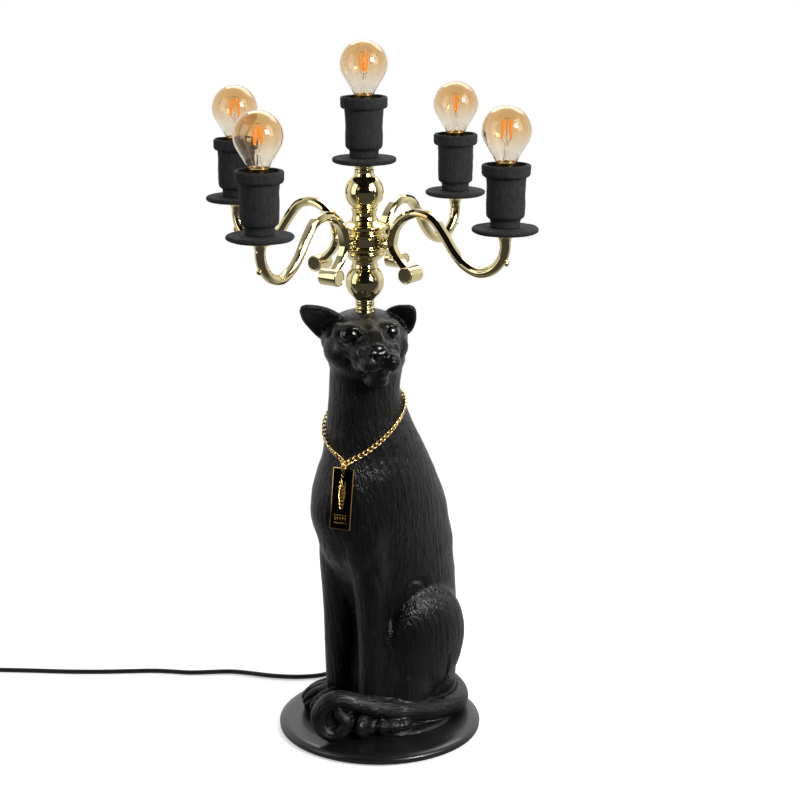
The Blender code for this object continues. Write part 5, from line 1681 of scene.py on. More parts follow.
    def part_toes(self, clay: Clay, forward: float, side: float, splay: float) -> None:
        """Cut the grooves between a front paw's toes.

        Args:
            clay: the skin.
            forward: the wrist's place.
            side: the wrist's place.
            splay: how far the paw turns, in degrees.
        """
        ahead, left = self.axes(self.body_bearing - radians(splay))
        root = self.on_body(forward, side, 0)
        for spread in (-10.5, 0.0, 10.5):
            rows = ((2, 0.72, 26), (16, 0.86, 24), (32, 1.0, 16), (45, 1.08, 8), (49, 1.1, 3))
            line = [root + (ahead * reach + left * spread * fan + Vector((0, 0, h))) * MM
                    for reach, fan, h in rows]
            clay.stroke(self.onto(clay, smooth_path(line, 4)), 1.6, -2.3, 0.5)

    # -------- coat
    def coat_flow(self, spots: np.ndarray) -> np.ndarray:
        """The body coat's own coordinates: the third runs along the hair, in millimetres.

        Args:
            spots: points in metres.

        Returns:
            One row of coordinates for each point.
        """
        own = spots / MM
        flow = own.copy()
        flow[:, 0] += 0.10 * own[:, 2]
        path, radii = self.tail_path()
        knots = np.array([p[:] for p in path]) / MM
        steps = np.r_[0, np.cumsum(np.linalg.norm(np.diff(knots, axis=0), axis=1))]
        bases = np.array([np.array(m.to_3x3().transposed()) for m in frames_along(path)])
        low = np.nonzero(own[:, 2] < 75)[0]
        gaps = np.linalg.norm(own[low, None, :] - knots[None, :, :], axis=2)
        nearest = gaps.argmin(1)
        on_tail = gaps.min(1) < np.array(radii)[nearest] * 1.15 + 0.5
        picked, knot = low[on_tail], nearest[on_tail]
        away = own[picked] - knots[knot]
        flow[picked, 0] = np.einsum("ij,ij->i", away, bases[knot, 0]) + 300
        flow[picked, 1] = np.einsum("ij,ij->i", away, bases[knot, 1])
        flow[picked, 2] = steps[knot] + np.einsum("ij,ij->i", away, bases[knot, 2])
        return flow

    def face_flow(self, spots: np.ndarray) -> np.ndarray:
        """The head coat's own coordinates: the third runs back from the nose, in millimetres.

        Args:
            spots: points in metres.

        Returns:
            One row of coordinates for each point.
        """
        ahead, left = self.axes(self.head_bearing)
        nose = np.array(self.on_face(54, 0, 386))
        own = (spots - nose) / MM
        forward = own @ np.array(ahead)
        side = own @ np.array(left)
        distance = np.linalg.norm(own, axis=1)
        around = np.arctan2(own[:, 2], side) * np.maximum(distance, 8) * 0.7
        return np.column_stack([around, forward * 0.25, distance])

    def shares(self, spots: np.ndarray) -> tuple[np.ndarray, np.ndarray]:
        """How much each point belongs to the head, and to the bare skin of nose and lips.

        Args:
            spots: points in metres.

        Returns:
            The head's share and the bare skin's share.
        """
        height = (spots[:, 2] - self.floor) / MM
        head = np.clip((height - 352) / 26, 0, 1)
        head = head * head * (3 - 2 * head)
        bare = np.zeros(len(spots))
        for place, reach in (((60, -1.8, 388.5), 11.0), ((62, 0.5, 378), 12.0),
                             ((50, 0, 403), 9.5), ((44, 0, 408), 8.0), ((55, 0, 366), 6.0)):
            gap = np.linalg.norm(spots - np.array(self.on_face(*place)), axis=1) / MM
            bare = np.maximum(bare, np.clip((reach - gap) / 3.5, 0, 1))
        for side in (-1, 1):
            gap = np.linalg.norm(spots - np.array(self.on_face(38, side * 20.6, 403)), axis=1) / MM
            bare = np.maximum(bare, np.clip((10.5 - gap) / 3.0, 0, 1))
        return head, bare

    def engrave(self, clay: Clay) -> None:
        """Cut the coat's broader strokes into the skin.

        Args:
            clay: the skin.
        """
        head, bare = self.shares(clay.spots)
        size = np.array([2.6, 2.6, 17.0])
        body = lattice_noise(self.coat_flow(clay.spots) / size, 3)
        face = lattice_noise(self.face_flow(clay.spots) / np.array([2.4, 3.0, 8.0]), 7)
        height = (clay.spots[:, 2] - self.floor) / MM
        foot = np.clip((height - 2.5) / 4, 0, 1)
        amount = (0.30 * body * (1 - head) + 0.16 * face * head) * (1 - bare) * foot
        soft = lattice_noise(clay.spots / (22 * MM), 11) * 0.35 * foot * (1 - bare) * (1 - head)
        clay.spots += clay.ways * ((amount + soft) * MM)[:, None]
        clay.store()

    def finish_casting(self, mesh: Mesh) -> None:
        """Thin the skin, level its foot, open the pipe's seat, and store the coat's coordinates.

        Args:
            mesh: the sculpted skin.
        """
        body = bpy.data.objects.new("thinned", mesh)
        bpy.context.scene.collection.objects.link(body)
        faces = sum(len(p.vertices) - 2 for p in mesh.polygons)
        if faces > self.most_faces:
            thin = body.modifiers.new("thin", "DECIMATE")
            thin.ratio = self.most_faces / faces
        thinned = evaluated(body)
        bpy.data.objects.remove(body, do_unlink=True)
        shape = bmesh.new()
        shape.from_mesh(thinned)
        everything = shape.verts[:] + shape.edges[:] + shape.faces[:]
        cut = bmesh.ops.bisect_plane(shape, geom=everything, plane_co=(0, 0, self.floor),
                                     plane_no=(0, 0, 1), clear_inner=True)
        rim = [g for g in cut["geom_cut"] if isinstance(g, bmesh.types.BMEdge)]
        bmesh.ops.holes_fill(shape, edges=rim, sides=0)
        low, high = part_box("seat_collar")
        seat = turn([(0.0, 450.0), (10.1, 450.0), (10.1, low.z / MM - 0.3), (0.0, low.z / MM - 0.3)], 48)
        shape = joined(shape, [seat], "DIFFERENCE")
        piece = settle("panther_casting", shape, FIGURE, stands_for=("panther_body",), sharp=180)
        spots = points_of(piece.data)
        head, bare = self.shares(spots)
        for name, values in (("coat_flow", self.coat_flow(spots)), ("face_flow", self.face_flow(spots)),
                             ("head_share", head), ("bare_share", bare)):
            store_values(piece, name, values)
        self.make_eyes()
        graph = bpy.context.evaluated_depsgraph_get()
        self.surface = BVHTree.FromObject(piece, graph)

    def make_eyes(self) -> None:
        """Set the two varnished eyeballs behind their lids."""
        for name, side in (("eye_right", -1), ("eye_left", 1)):
            shape = bmesh.new()
            out = Matrix.Rotation(self.face_bearing + side * radians(22), 4, "Z")
            middle = self.on_face(32.6, side * 19.6, 402.2)
            ball(shape, middle, (9.6, 9.8, 8.4), out, 24)
            clay_mesh = bpy.data.meshes.new("eye")
            shape.to_mesh(clay_mesh)
            shape.free()
            clay = Clay(clay_mesh)
            ahead = out @ Vector((1, 0, 0))
            front = middle + ahead * 9.6 * MM
            gap = np.linalg.norm(clay.spots - np.array(front), axis=1) / MM
            ring = np.exp(-((gap - 3.4) / 0.45) ** 2) * -0.22 + np.exp(-(gap / 1.25) ** 2) * -0.45
            clay.spots += clay.ways * (ring * MM)[:, None]
            clay.store()
            eye = bmesh.new()
            eye.from_mesh(clay.mesh)
            bpy.data.meshes.remove(clay_mesh)
            settle(name, eye, EYE, sharp=180)


# ---------------- column
@dataclass
class Column:
    """The stack of turned brass from the crown of the head to the top pan."""

    ball_radius: float = 18.2
    bore: float = 5.3

    def build(self) -> None:
        """Turn each piece and set it on the pipe."""
        for node, corners in self.outlines().items():
            low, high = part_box(node)
            bottom = low.z / MM
            height = (high.z - low.z) / MM
            profile = [(r, bottom + z) for r, z in corners(height)]
            profile += [(self.bore, profile[-1][1]), (self.bore, profile[0][1])]
            settle(f"turned_{node}", turn(profile, 96, closed=True), BRASS, stands_for=(node,), sharp=30)

    def outlines(self) -> dict:
        """The outer outline of each piece, as a function of its height, top first."""
        return {
            "seat_collar": lambda h: fillet([
                (8.0, h, 0), (9.3, h - 0.6, 0.5), (9.3, h - 3.0, 0.6), (8.2, h - 3.9, 0.4),
                (8.2, h - 4.6, 0.4), (9.4, h - 5.4, 0.6), (9.4, h - 7.6, 0.6), (8.3, h - 8.4, 0.3),
                (9.2, h - 9.2, 0.3), (9.2, 0, 0)]),
            "lower_ball": lambda h: (
                arc(h - 13.1, self.ball_radius, degrees(asin(13.1 / self.ball_radius)), -42, 20)
                + fillet([(11.6, h - 27.2, 0), (9.6, h - 29.4, 1.5), (8.9, 1.6, 0.8), (9.2, 0.8, 0.3),
                          (9.2, 0, 0)])),
            "lower_spool": lambda h: fillet([
                (17.9, h, 0), (19.1, h - 0.9, 0.9), (19.1, h - 3.4, 0.9), (17.4, h - 4.5, 0.6),
                (16.6, h - 5.8, 0.6), (12.8, h - 8.8, 1.6), (11.6, h - 11.8, 1.5), (12.4, 2.6, 0.6),
                (13.0, 1.6, 0.5), (13.0, 0.6, 0.3), (12.4, 0, 0)]),
            "arm_hub": lambda h: fillet([
                (18.4, h, 0), (19.8, h - 1.1, 0.8), (19.8, h - 3.6, 0.6), (17.8, h - 4.6, 0.5),
                (17.4, h - 5.4, 0.3), (17.4, 5.4, 0.3), (17.8, 4.6, 0.5), (19.8, 3.6, 0.6),
                (19.8, 1.1, 0.8), (18.4, 0, 0)]),
            "upper_spool": lambda h: fillet([
                (11.4, h, 0), (12.7, h - 0.9, 0.6), (12.3, h - 2.4, 0.5), (11.4, h - 3.6, 0.5),
                (11.1, h - 8.0, 2.0), (12.6, h - 11.8, 2.5), (17.0, h - 14.6, 2.5), (20.6, h - 15.6, 0.6),
                (22.3, h - 16.4, 0.7), (22.3, 3.2, 0.8), (20.4, 2.2, 0.5), (19.6, 0.8, 0.4), (18.6, 0, 0)]),
            "upper_ball": lambda h: arc(h / 2, self.ball_radius,
                                        degrees(asin(h / 2 / self.ball_radius)),
                                        -degrees(asin(h / 2 / self.ball_radius)), 26),
            "top_collar": lambda h: fillet([
                (9.0, h, 0), (9.6, h - 0.5, 0.3), (9.6, h - 2.4, 0.5), (8.3, h - 3.4, 0.4),
                (8.3, h - 4.4, 0.4), (9.2, h - 5.2, 0.4), (9.2, h - 7.4, 0.4), (8.8, h - 8.2, 0.4),
                (9.9, 0.6, 0.3), (9.6, 0, 0)]),
        }


# ---------------- arms
@dataclass
class Arms:
    """The four cast S arms: a flat-sided band at the hub that turns round towards the pan."""

    inner: float = 31.8
    reach: float = 155.0
    line: tuple = (
        (0.150, -23.5), (0.055, -13.0), (0.008, -4.0), (0.000, 3.0), (0.028, 15.0), (0.095, 25.0),
        (0.190, 31.0), (0.280, 31.5), (0.380, 27.0), (0.475, 14.0), (0.560, 0.0), (0.650, -10.0),
        (0.770, -15.8), (0.890, -12.0), (0.970, -2.0), (1.000, 8.0),
    )
    # share of the way along, half width across the arm, half thickness, and how flat-sided
    sections: tuple = (
        (0.00, 4.6, 3.3, 1.0), (0.10, 5.6, 3.7, 1.0), (0.20, 6.2, 4.0, 1.0), (0.35, 5.9, 4.0, 1.0),
        (0.50, 5.2, 4.1, 0.95), (0.66, 4.8, 4.4, 0.6), (0.80, 4.8, 4.7, 0.15), (0.90, 4.9, 4.9, 0.0),
        (1.00, 5.0, 5.0, 0.0),
    )
    bearings: tuple = ((Light.FRONT_RIGHT, -36.0), (Light.BACK_RIGHT, 54.0), (Light.BACK_LEFT, 144.0),
                       (Light.FRONT_LEFT, -126.0))
    middle: float = field(init=False)           # height of the hub's middle

    def build(self) -> None:
        """Make the arms and their screws."""
        low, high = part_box("arm_hub")
        self.middle = (low.z + high.z) / 2 / MM
        for light, bearing in self.bearings:
            around = Matrix.Rotation(radians(bearing), 4, "Z")
            arm = self.make_arm(light)
            bmesh.ops.transform(arm, matrix=around, verts=arm.verts[:])
            settle(f"brass_arm_{light.value}", arm, BRASS, stands_for=(f"arm_{light.value}",), sharp=24)
            self.make_screw(light, around)

    def spot(self, share: float, height: float) -> Vector:
        """A point of the arm's centreline, from its share of the way out and height at the hub."""
        return Vector((self.inner + (self.reach - self.inner) * share, 0, self.middle + height)) * MM

    def section(self, share: float, sides: int = 40) -> list[Vector]:
        """The outline of the arm's section.

        Args:
            share: how far along the arm, from 0 at the scroll to 1 at the ferrule.
            sides: how many points it has.

        Returns:
            The outline, in metres: X across the arm, Y through it.
        """
        marks = np.array(self.sections)
        wide, thick, flat = (float(np.interp(share, marks[:, 0], marks[:, k])) for k in (1, 2, 3))
        outline = []
        for k in range(sides):
            a = 2 * pi * k / sides
            c, s = cos(a), sin(a)
            facet = 1 / max(abs(c) * 0.98 + abs(s) * 0.30, abs(s) * 1.0, abs(c) * 0.86 + abs(s) * 0.55)
            r = (1 - flat) + flat * facet
            outline.append(Vector((wide * r * c * MM, thick * r * s * MM, 0)))
        return outline

    def make_arm(self, light: Light) -> BMesh:
        """Make one arm along +X: band, scroll barrel, hub pin, ferrule and nipple.

        Args:
            light: which arm it is, for its seat's height.

        Returns:
            The arm's bmesh.
        """
        pan_low, pan_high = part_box(f"drip_pan_{light.value}")
        top = pan_low.z / MM - 0.3
        line = [self.spot(share, height) for share, height in self.line]
        line.append(Vector((self.reach, 0, top - 3.5)) * MM)
        path = smooth_path(line, 7)
        count = len(path) - 1
        places = frames_along(path, Vector((0, 1, 0)))
        band = bmesh.new()
        loft(band, [(place, self.section(i / count)) for i, place in enumerate(places)])
        outwards(band)
        scroll = self.spot(0.170, -26.0)
        lying = Matrix.Translation(scroll) @ Matrix.Rotation(pi / 2, 4, "X")
        barrel = turn(fillet([(0, 9.6, 0), (6.6, 9.6, 0.2), (7.0, 10.0, 0.3), (7.8, 9.5, 0.5),
                              (7.8, -9.5, 0.5), (7.0, -10.0, 0.3), (6.6, -9.6, 0.2), (0, -9.6, 0)]), 64,
                      place=lying)
        pin_way = Matrix.Translation(Vector((0, 0, self.middle)) * MM) @ Matrix.Rotation(pi / 2, 4, "Y")
        pin = turn(fillet([(0, 30.5, 0), (5.6, 30.5, 0.4), (5.6, 24.0, 0.8), (4.4, 22.4, 0.6),
                           (5.0, 20.6, 0.3), (5.0, 20.2, 0.1), (3.6, 20.2, 0), (3.6, 14.4, 0.3),
                           (0, 14.4, 0)]), 40, place=pin_way)
        stand = Matrix.Translation(Vector((self.reach, 0, 0)) * MM)
        ferrule = turn(fillet([(0, top, 0), (7.4, top, 0), (7.8, top - 0.5, 0.4), (7.6, top - 1.4, 0.5),
                               (6.0, top - 3.6, 1.6), (5.5, top - 6.2, 1.0), (5.0, top - 8.5, 0.8),
                               (4.2, top - 10.0, 0), (0, top - 10.0, 0)]), 56, place=stand)
        nipple_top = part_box(f"arm_{light.value}")[1].z / MM
        nipple = turn(fillet([(0, nipple_top, 0), (4.6, nipple_top, 0.3), (4.9, nipple_top - 0.6, 0.2),
                              (4.9, top - 1.0, 0), (0, top - 1.0, 0)]), 40, place=stand)
        return joined(band, [barrel, pin, ferrule, nipple])

    def make_screw(self, light: Light, around: Matrix) -> None:
        """Make the small knurled screw on the arm's outer side.

        Args:
            light: which arm it is on.
            around: the arm's turn round the column.
        """
        tilt = radians(-12)
        out = Vector((cos(tilt), 0, sin(tilt)))
        seat = self.spot(0.965, -3.0) + out * 4.6 * MM
        turned_by = out.to_track_quat("Z", "Y").to_matrix().to_4x4()
        knob = turn(fillet([(0, 3.9, 0), (1.4, 3.9, 0.4), (2.6, 3.0, 0.6), (2.6, 1.4, 0.5), (1.5, 0.9, 0.2),
                            (1.5, -2.5, 0), (0, -2.5, 0)]), 28,
                    place=around @ Matrix.Translation(seat) @ turned_by)
        settle(f"knob_screw_{light.value}", knob, BRASS, stands_for=(f"arm_screw_{light.value}",))


# ---------------- lights
@dataclass
class Lights:
    """The five lights: drip pan, cover, lampholder and bulb."""

    pan_thick: float = 5.8
    bulb_radius: float = 22.0
    neck_to_middle: float = 29.3
    neck_radius: float = 8.2
    glass_wall: float = 0.5

    def build(self) -> None:
        """Make each light in turn."""
        for number, light in enumerate(Light):
            low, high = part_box(f"drip_pan_{light.value}")
            x, y = (low.x + high.x) / 2, (low.y + high.y) / 2
            seat = Matrix.Translation((x, y, high.z))
            self.make_pan(light, seat, number)
            self.make_cover(light, seat, number)
            self.make_holder(light, seat)
            self.make_bulb(light, seat, number)

    def make_pan(self, light: Light, seat: Matrix, number: int) -> None:
        """Make the drip pan, a hand-finished disc with a wavering edge.

        Args:
            light: which light it belongs to.
            seat: the middle of its top.
            number: picks its unevenness.
        """
        t = self.pan_thick
        corners = [(5.3, -0.2, 0), (17.0, 0.0, 1.0), (19.0, -0.5, 1.5), (24.0, -0.3, 1.0), (28.9, 0.0, 1.0),
                   (30.1, -1.4, 1.2), (29.8, -3.4, 1.4), (27.6, -t + 0.9, 1.4), (20.0, -t + 0.2, 1.0),
                   (14.0, -t, 0.5), (5.3, -t, 0)]
        shape = turn(fillet(corners, 4), 120, place=seat, closed=True)
        unevenness(shape, 13.0, 0.55, 20 + number, 0.5)
        settle(f"wavy_pan_{light.value}", shape, COVER, stands_for=(f"drip_pan_{light.value}",), sharp=50)

    def make_cover(self, light: Light, seat: Matrix, number: int) -> None:
        """Make the cover, a candle-cup with a heavy lip and slightly wandering sides.

        Args:
            light: which light it belongs to.
            seat: the middle of the pan's top.
            number: picks its unevenness.
        """
        corners = [
            (18.5, 56.0, 0), (21.0, 56.1, 0.9), (21.9, 54.8, 0.9), (21.7, 47.6, 0.9), (20.6, 45.6, 0.9),
            (17.9, 45.0, 0.8), (17.5, 38.0, 1.0), (17.6, 22.0, 2.0), (17.3, 11.4, 1.4), (16.6, 9.0, 1.2),
            (13.9, 7.4, 0.9), (13.5, 5.2, 0.8), (13.7, 1.0, 0.6), (13.2, 0.35, 0.3), (5.3, 0.35, 0),
            (5.3, 7.2, 0), (14.2, 7.25, 0.5), (14.2, 47.0, 0.8), (18.1, 49.2, 0.8), (18.2, 55.2, 0.5)]
        rings = cut_fine(fillet(corners, 3), 1.6)
        shape = turn(rings, 112, place=seat, closed=True)
        unevenness(shape, 15.0, 0.55, 40 + number, 0.8)
        unevenness(shape, 4.2, 0.16, 60 + number)
        settle(f"plaster_cover_{light.value}", shape, COVER, stands_for=(f"socket_cover_{light.value}",),
               sharp=60)

    def make_holder(self, light: Light, seat: Matrix) -> None:
        """Make the lampholder inside the cover.

        Args:
            light: which light it belongs to.
            seat: the middle of the pan's top.
        """
        low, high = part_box(f"lampholder_{light.value}")
        base = seat.to_translation().z
        bottom, top = (low.z - base) / MM, (high.z - base) / MM
        corners = [(0, 29.8, 0), (7.1, 29.8, 0), (7.1, top - 0.6, 0.2), (7.7, top, 0.2), (12.6, top, 0.4),
                   (13.4, top - 0.9, 0.3), (13.4, bottom, 0.3), (5.5, bottom, 0), (5.5, bottom + 4.9, 0),
                   (0, bottom + 4.9, 0)]
        shape = turn(fillet(corners, 3), 48, place=seat)
        settle(f"holder_{light.value}", shape, HOLDER, stands_for=(f"lampholder_{light.value}",))

    def make_bulb(self, light: Light, seat: Matrix, number: int) -> None:
        """Make the bulb: its rolled cap, its glass, and the stem with four filament strips.

        Args:
            light: which light it belongs to.
            seat: the middle of the pan's top.
            number: turns the filaments a different way in each bulb.
        """
        self.make_cap(light, seat)
        self.make_glass(light, seat)
        self.make_strips(light, seat @ Matrix.Rotation(radians(17 + 71 * number), 4, "Z"))

    def make_cap(self, light: Light, seat: Matrix) -> None:
        """Make the screw cap with its rolled thread.

        Args:
            light: which light it belongs to.
            seat: the middle of the pan's top.
        """
        top, low = 56.2, 29.9
        corners = [(0, top, 0), (8.3, top, 0.1), (8.35, top + 2.4, 0.1), (8.8, top + 2.7, 0.15),
                   (9.1, top + 2.2, 0.2), (8.8, top + 0.2, 0.4), (8.6, top - 3.6, 0.6),
                   (6.9, top - 6.0, 0.4), (6.7, low + 6.4, 0.3), (4.6, low + 3.0, 0.4), (4.4, low + 1.6, 0.3),
                   (2.4, low + 1.2, 0.3), (2.3, low + 0.3, 0.3), (0, low, 0)]
        rings = cut_fine(fillet(corners, 3), 0.35, upright=True) + [(0.0, low)]
        shape = turn(rings, 40)
        pitch = 2.82
        for vert in shape.verts:
            radius, height = hypot(vert.co.x, vert.co.y) / MM, vert.co.z / MM
            if radius > 5.5 and low + 6.8 < height < top - 6.2:
                angle = atan2(vert.co.y, vert.co.x)
                wave = cos(angle - 2 * pi * height / pitch)
                scale = 1 + (wave * 0.32 - 0.3) / radius
                vert.co.x *= scale
                vert.co.y *= scale
        bmesh.ops.transform(shape, matrix=seat, verts=shape.verts[:])
        settle(f"screw_cap_{light.value}", shape, CAP, f"bulb_cap_{light.value}",
               (f"bulb_cap_{light.value}",), 60)

    def make_glass(self, light: Light, seat: Matrix) -> None:
        """Blow the envelope: a ball that runs into a conical neck, as a thin wall.

        Args:
            light: which light it belongs to.
            seat: the middle of the pan's top.
        """
        neck = 56.5
        middle = neck + self.neck_to_middle
        slope = atan2(-self.neck_to_middle, self.neck_radius)
        tangent = degrees(slope + acos(self.bulb_radius
                                                 / hypot(self.neck_radius, self.neck_to_middle)))
        outer = arc(middle, self.bulb_radius, 90, tangent, 36)
        outer[0] = (0.0, middle + self.bulb_radius)
        r, z = outer[-1]
        foot = [(r + (self.neck_radius - r) * k / 8, z + (neck - z) * k / 8) for k in range(1, 8)]
        foot += [(self.neck_radius, neck + 0.1), (self.neck_radius, neck)]
        inner = [(max(0.0, p - self.glass_wall), q) for p, q in foot[::-1]]
        inner += [(0.0 if k == 0 else p, q) for k, (p, q) in reversed(list(enumerate(
            arc(middle, self.bulb_radius - self.glass_wall, 90, tangent, 30))))]
        shape = turn(outer + foot + inner, 72, place=seat)
        piece = settle(f"glass_{light.value}", shape, GLASS, f"bulb_envelope_{light.value}",
                       (f"bulb_glass_{light.value}",), 80)
        base = seat.to_translation().z + neck * MM
        share = (points_of(piece.data)[:, 2] - base) / ((self.neck_to_middle + self.bulb_radius) * MM)
        store_values(piece, "bulb_height", share)

    def make_strips(self, light: Light, seat: Matrix) -> None:
        """Make the flared stem, its lead wires and the four filament strips.

        Args:
            light: which light it belongs to.
            seat: the middle of the pan's top, turned.
        """
        body = f"bulb_envelope_{light.value}"
        base = 56.9
        stem = turn(fillet([(0, base + 15.0, 0), (1.9, base + 14.6, 0.9), (2.2, base + 8.0, 1.5),
                            (3.3, base + 3.0, 1.5), (6.4, base, 0), (6.0, base, 0), (2.9, base + 2.9, 1.5),
                            (1.8, base + 8.0, 1.5), (1.5, base + 14.0, 0.6), (0, base + 14.4, 0)]),
                    32, place=seat)
        settle(f"stem_{light.value}", stem, STEM, body, (f"bulb_filament_{light.value}",))
        wires = bmesh.new()
        strips = bmesh.new()
        top, foot = base + 38.5, base + 21.5
        for k in range(4):
            a = radians(45 + 90 * k)
            lean = a + radians(38 if k % 2 else -38)
            out = Vector((cos(a), sin(a), 0))
            low_radius, high_radius = 4.4, 4.2
            start = Vector((cos(lean), sin(lean), 0)) * low_radius + Vector((0, 0, foot))
            end = out * high_radius + Vector((0, 0, top))
            self.add_rod(strips, seat, start, end, 0.95, 10)
            lead = [out * 1.2 + Vector((0, 0, base + 14.5)), out * 1.9 + Vector((0, 0, base + 18.5)), start]
            self.add_rod(wires, seat, lead[0], lead[1], 0.26, 6)
            self.add_rod(wires, seat, lead[1], lead[2], 0.26, 6)
            hook = Vector((0, 0, top + 1.2)) + out * high_radius * 0.55
            self.add_rod(wires, seat, end, hook, 0.26, 6)
        ring = [seat @ (Vector((cos(b) * 2.3, sin(b) * 2.3, top + 1.2)) * MM)
                for b in (2 * pi * k / 20 for k in range(20))]
        round_tube(wires, ring, [0.26] * 20, 6, cyclic=True)
        post = [seat @ (Vector((0, 0, base + h)) * MM) for h in (16.5, 22.0, 30.0, 39.6)]
        round_tube(wires, post, [0.35] * 4, 8)
        outwards(wires)
        outwards(strips)
        settle(f"lead_wires_{light.value}", wires, WIRE, body)
        settle(f"filament_strips_{light.value}", strips, STRIP, body)

    def add_rod(self, shape: BMesh, seat: Matrix, start: Vector, end: Vector,
                radius: float, sides: int) -> None:
        """Add a thin straight rod between two points of a bulb."""
        path = [seat @ (start.lerp(end, k / 4) * MM) for k in range(5)]
        round_tube(shape, path, [radius * 0.6, radius, radius, radius, radius * 0.6], sides)


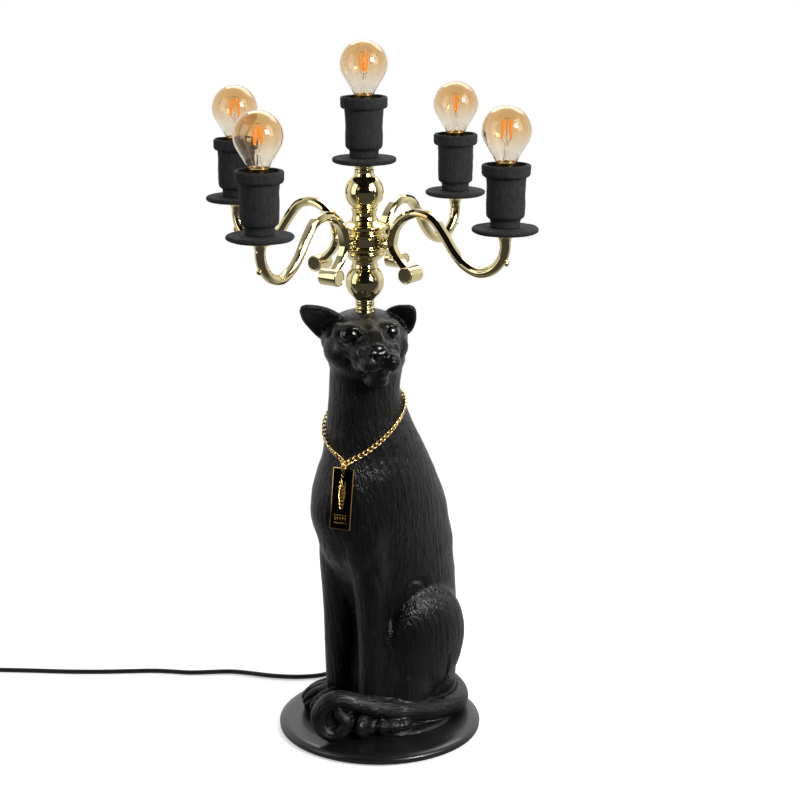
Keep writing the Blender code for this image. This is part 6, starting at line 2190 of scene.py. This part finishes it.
# ---------------- necklace
@dataclass
class Necklace:
    """The curb chain round the neck, and the tag that swings from its ring."""

    figure: Panther
    pitch: float = 5.3
    link_half: float = 3.3
    link_wide: float = 2.35
    wire: float = 0.8
    rise: float = 56.0                          # how much higher the chain lies at the nape
    lift: float = 1.9
    hang: Vector = field(init=False)            # where the tag's ring hangs
    out: Vector = field(init=False)             # the way out of the chest there
    bearing: float = field(init=False)

    def build(self) -> None:
        """Make the chain, the ring and the tag."""
        swing = next(j for j in frame["record"]["behaviour"]["joints"] if j["name"] == "pendant_swing")
        self.hang = Vector(swing["pos_m"])
        axis = Vector(swing["axis"])
        self.out = Vector((-axis.y, axis.x, 0)).normalized()
        self.bearing = atan2(self.out.y, self.out.x)
        self.make_chain()
        self.make_pendant()

    def neck_point(self, turned_by: float) -> tuple[Vector, Vector]:
        """Where the chain's line lies on the neck.

        Args:
            turned_by: the angle round from the pendant, in radians.

        Returns:
            The point and the way out of the neck.
        """
        bearing = self.bearing + turned_by
        out = Vector((cos(bearing), sin(bearing), 0))
        height = self.hang.z + self.rise * MM * abs(sin(turned_by / 2)) ** 1.15
        hit = self.figure.surface.ray_cast(out * 0.3 + Vector((0, 0, height)), -out)
        return hit[0], hit[1].normalized()

    def make_chain(self) -> None:
        """Lay the links, each turned a little on edge, along the line on the neck."""
        knots = []
        steps = 72
        for k in range(steps):
            spot, normal = self.neck_point(2 * pi * k / steps)
            knots.append(spot + normal * self.lift * MM)
        knots[0] = self.hang.copy()
        for k in (1, -1):
            knots[k] = knots[k].lerp((knots[0] + knots[2 * k]) / 2, 0.7)
        line = smooth_path(knots, 6, cyclic=True)
        lengths = np.r_[0, np.cumsum([(b - a).length for a, b in zip(line, line[1:] + line[:1])])]
        closed = line + line[:1]
        total = float(lengths[-1])
        chain = bmesh.new()
        links = round(total / (self.pitch * MM))
        for k in range(links):
            along = total * (k + 0.5) / links
            i = min(int(np.searchsorted(lengths, along)), len(closed) - 1)
            share = (along - lengths[i - 1]) / max(lengths[i] - lengths[i - 1], 1e-9)
            spot = closed[i - 1].lerp(closed[i], share)
            way = (closed[i] - closed[i - 1]).normalized()
            near = self.figure.surface.find_nearest(spot)
            normal = (spot - near[0]).normalized()
            normal = (normal - way * normal.dot(way)).normalized()
            across = normal.cross(way)
            lie = Matrix((way, across, normal)).transposed().to_4x4()
            tip = Matrix.Rotation(radians(30), 4, "X")
            self.add_link(chain, Matrix.Translation(spot) @ lie @ tip)
        outwards(chain)
        settle("curb_chain", chain, GOLD, stands_for=("chain",), sharp=60)
        LOG.info("curb_chain: %d links over %.0f mm", links, total / MM)

    def add_link(self, shape: BMesh, place: Matrix) -> None:
        """Add one oval link, twisted as a curb link is.

        Args:
            shape: the bmesh to add to.
            place: where it lies.
        """
        count, sides = 14, 7
        path = []
        for k in range(count):
            a = 2 * pi * k / count
            x, y = self.link_half * cos(a), self.link_wide * sin(a)
            twist = radians(22) * x / self.link_half
            path.append(place @ (Vector((x, y * cos(twist), y * sin(twist))) * MM))
        round_tube(shape, path, [self.wire] * count, sides, cyclic=True)

    def tag_frame(self) -> tuple[Matrix, float, float]:
        """Read how the tag hangs from its CAD solid.

        Returns:
            The tag's frame, with its middle as origin, X across, Y out of its face and Z up along
            it, and the tag's width and length in millimetres.
        """
        spots = points_of(frame["nodes"]["pendant_tag"].data)
        side = Vector((-self.out.y, self.out.x, 0))
        across = spots @ np.array(side)
        edge = spots[np.abs(across - across.min()) < 1e-4]
        low = edge[edge[:, 2] < edge[:, 2].min() + 0.003].mean(0)
        high = edge[edge[:, 2] > edge[:, 2].max() - 0.003].mean(0)
        up = Vector(high - low).normalized()
        face = up.cross(side).normalized()
        if face.dot(self.out) < 0:
            face = -face
        length = float(np.ptp(spots @ np.array(up))) / MM
        width = float(across.max() - across.min()) / MM
        middle = Vector((spots.min(0) + spots.max(0)) / 2)
        turned_by = Matrix((face.cross(up), face, up)).transposed().to_4x4()
        return Matrix.Translation(middle) @ turned_by, width, length

    def make_pendant(self) -> None:
        """Make the ring, and the tag: gold frame, black enamel and a raised sprig of leaves."""
        place, width, length = self.tag_frame()
        low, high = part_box("jump_ring")
        middle = (low + high) / 2
        count = 28
        up = place.to_3x3() @ Vector((0, 0, 1))
        ring_path = [middle + (self.out * cos(a) + up * sin(a)) * 4.7 * MM
                     for a in (2 * pi * k / count for k in range(count))]
        ring = bmesh.new()
        round_tube(ring, ring_path, [0.8] * count, 10, cyclic=True)
        outwards(ring)
        settle("ring_of_pendant", ring, GOLD, "pendant", ("jump_ring",), 180)
        thick = 2.4
        plate = bmesh.new()
        block(plate, (width, thick, length), place, 0.35, 2)
        hole_at = place @ Matrix.Translation(Vector((0, 0, length / 2 - 2.6)) * MM)
        hole = turn([(0, 4), (1.6, 4), (1.6, -4), (0, -4)], 24,
                    place=hole_at @ Matrix.Rotation(pi / 2, 4, "X"))
        sunk = bmesh.new()
        block(sunk, (width - 1.3, 1.0, length - 1.3),
              place @ Matrix.Translation(Vector((0, thick / 2, 0)) * MM), 0.2, 2)
        plate = joined(plate, [sunk, hole], "DIFFERENCE")
        settle("tag_frame", plate, TAG_GOLD, "pendant", ("pendant_tag",), 30)
        enamel = bmesh.new()
        block(enamel, (width - 1.5, 0.3, length - 1.5),
              place @ Matrix.Translation(Vector((0, thick / 2 - 0.33, 0)) * MM), 0.05, 1)
        drill = turn([(0, 4), (1.9, 4), (1.9, -4), (0, -4)], 24,
                     place=hole_at @ Matrix.Rotation(pi / 2, 4, "X"))
        settle("tag_enamel", joined(enamel, [drill], "DIFFERENCE"), ENAMEL, "pendant", sharp=30)
        self.make_sprig(place @ Matrix.Translation(Vector((0, thick / 2 - 0.1, 0)) * MM))

    def make_sprig(self, face: Matrix) -> None:
        """Raise a plain sprig of leaves over a row of bars on the tag's face.

        Args:
            face: the face's frame: X across, Z up.
        """
        shape = bmesh.new()

        def bead(points: list[tuple[float, float]], thickness: float) -> None:
            """Add one raised line.

            Args:
                points: across and up, in millimetres.
                thickness: the line's radius, in millimetres.
            """
            path = smooth_path([face @ (Vector((x, 0, z)) * MM) for x, z in points], 4)
            last = len(path) - 1
            radii = [thickness * (0.35 + 0.65 * sin(pi * (0.06 + 0.88 * i / last)) ** 0.6)
                     for i in range(last + 1)]
            round_tube(shape, path, radii, 6)

        bead([(-1.0, 21.5), (1.6, 19.4), (0.4, 15.0), (-0.6, 9.0), (0.5, 0.0), (0.0, -10.0)], 0.45)
        bead([(-2.4, 23.4), (-0.4, 24.6), (1.6, 23.2), (0.2, 21.2)], 0.4)
        for k in range(7):
            height = 13.0 - 3.5 * k
            size = 1.0 - 0.55 * abs(k - 2.4) / 4.6
            for side in (-1, 1):
                bead([(0.2, height - 1.6), (side * 2.2 * size, height + 0.3),
                      (side * 3.9 * size, height + 3.0), (side * 3.2 * size, height + 0.2),
                      (side * 1.2 * size, height - 1.8)], 0.36)
        for k in range(5):
            x = -5.4 + 2.7 * k
            bead([(x, -17.6), (x, -20.6)], 0.5)
            bead([(x - 0.9, -15.8), (x + 0.9, -15.8)], 0.35)
        bead([(-6.4, -23.2), (-2.0, -22.8), (2.0, -23.4), (6.4, -23.0)], 0.5)
        outwards(shape)
        settle("tag_sprig", shape, TAG_GOLD, "pendant", sharp=60)


def main() -> None:
    """Build the studio and then the lamp, from the cord up to the bulbs."""
    logging.basicConfig(level=logging.INFO, format="%(message)s")
    Studio().build()
    MainsLead().build()
    Base().build()
    panther = Panther()
    panther.build()
    Column().build()
    Arms().build()
    Lights().build()
    Necklace(panther).build()


if __name__ == "__main__":
    main()
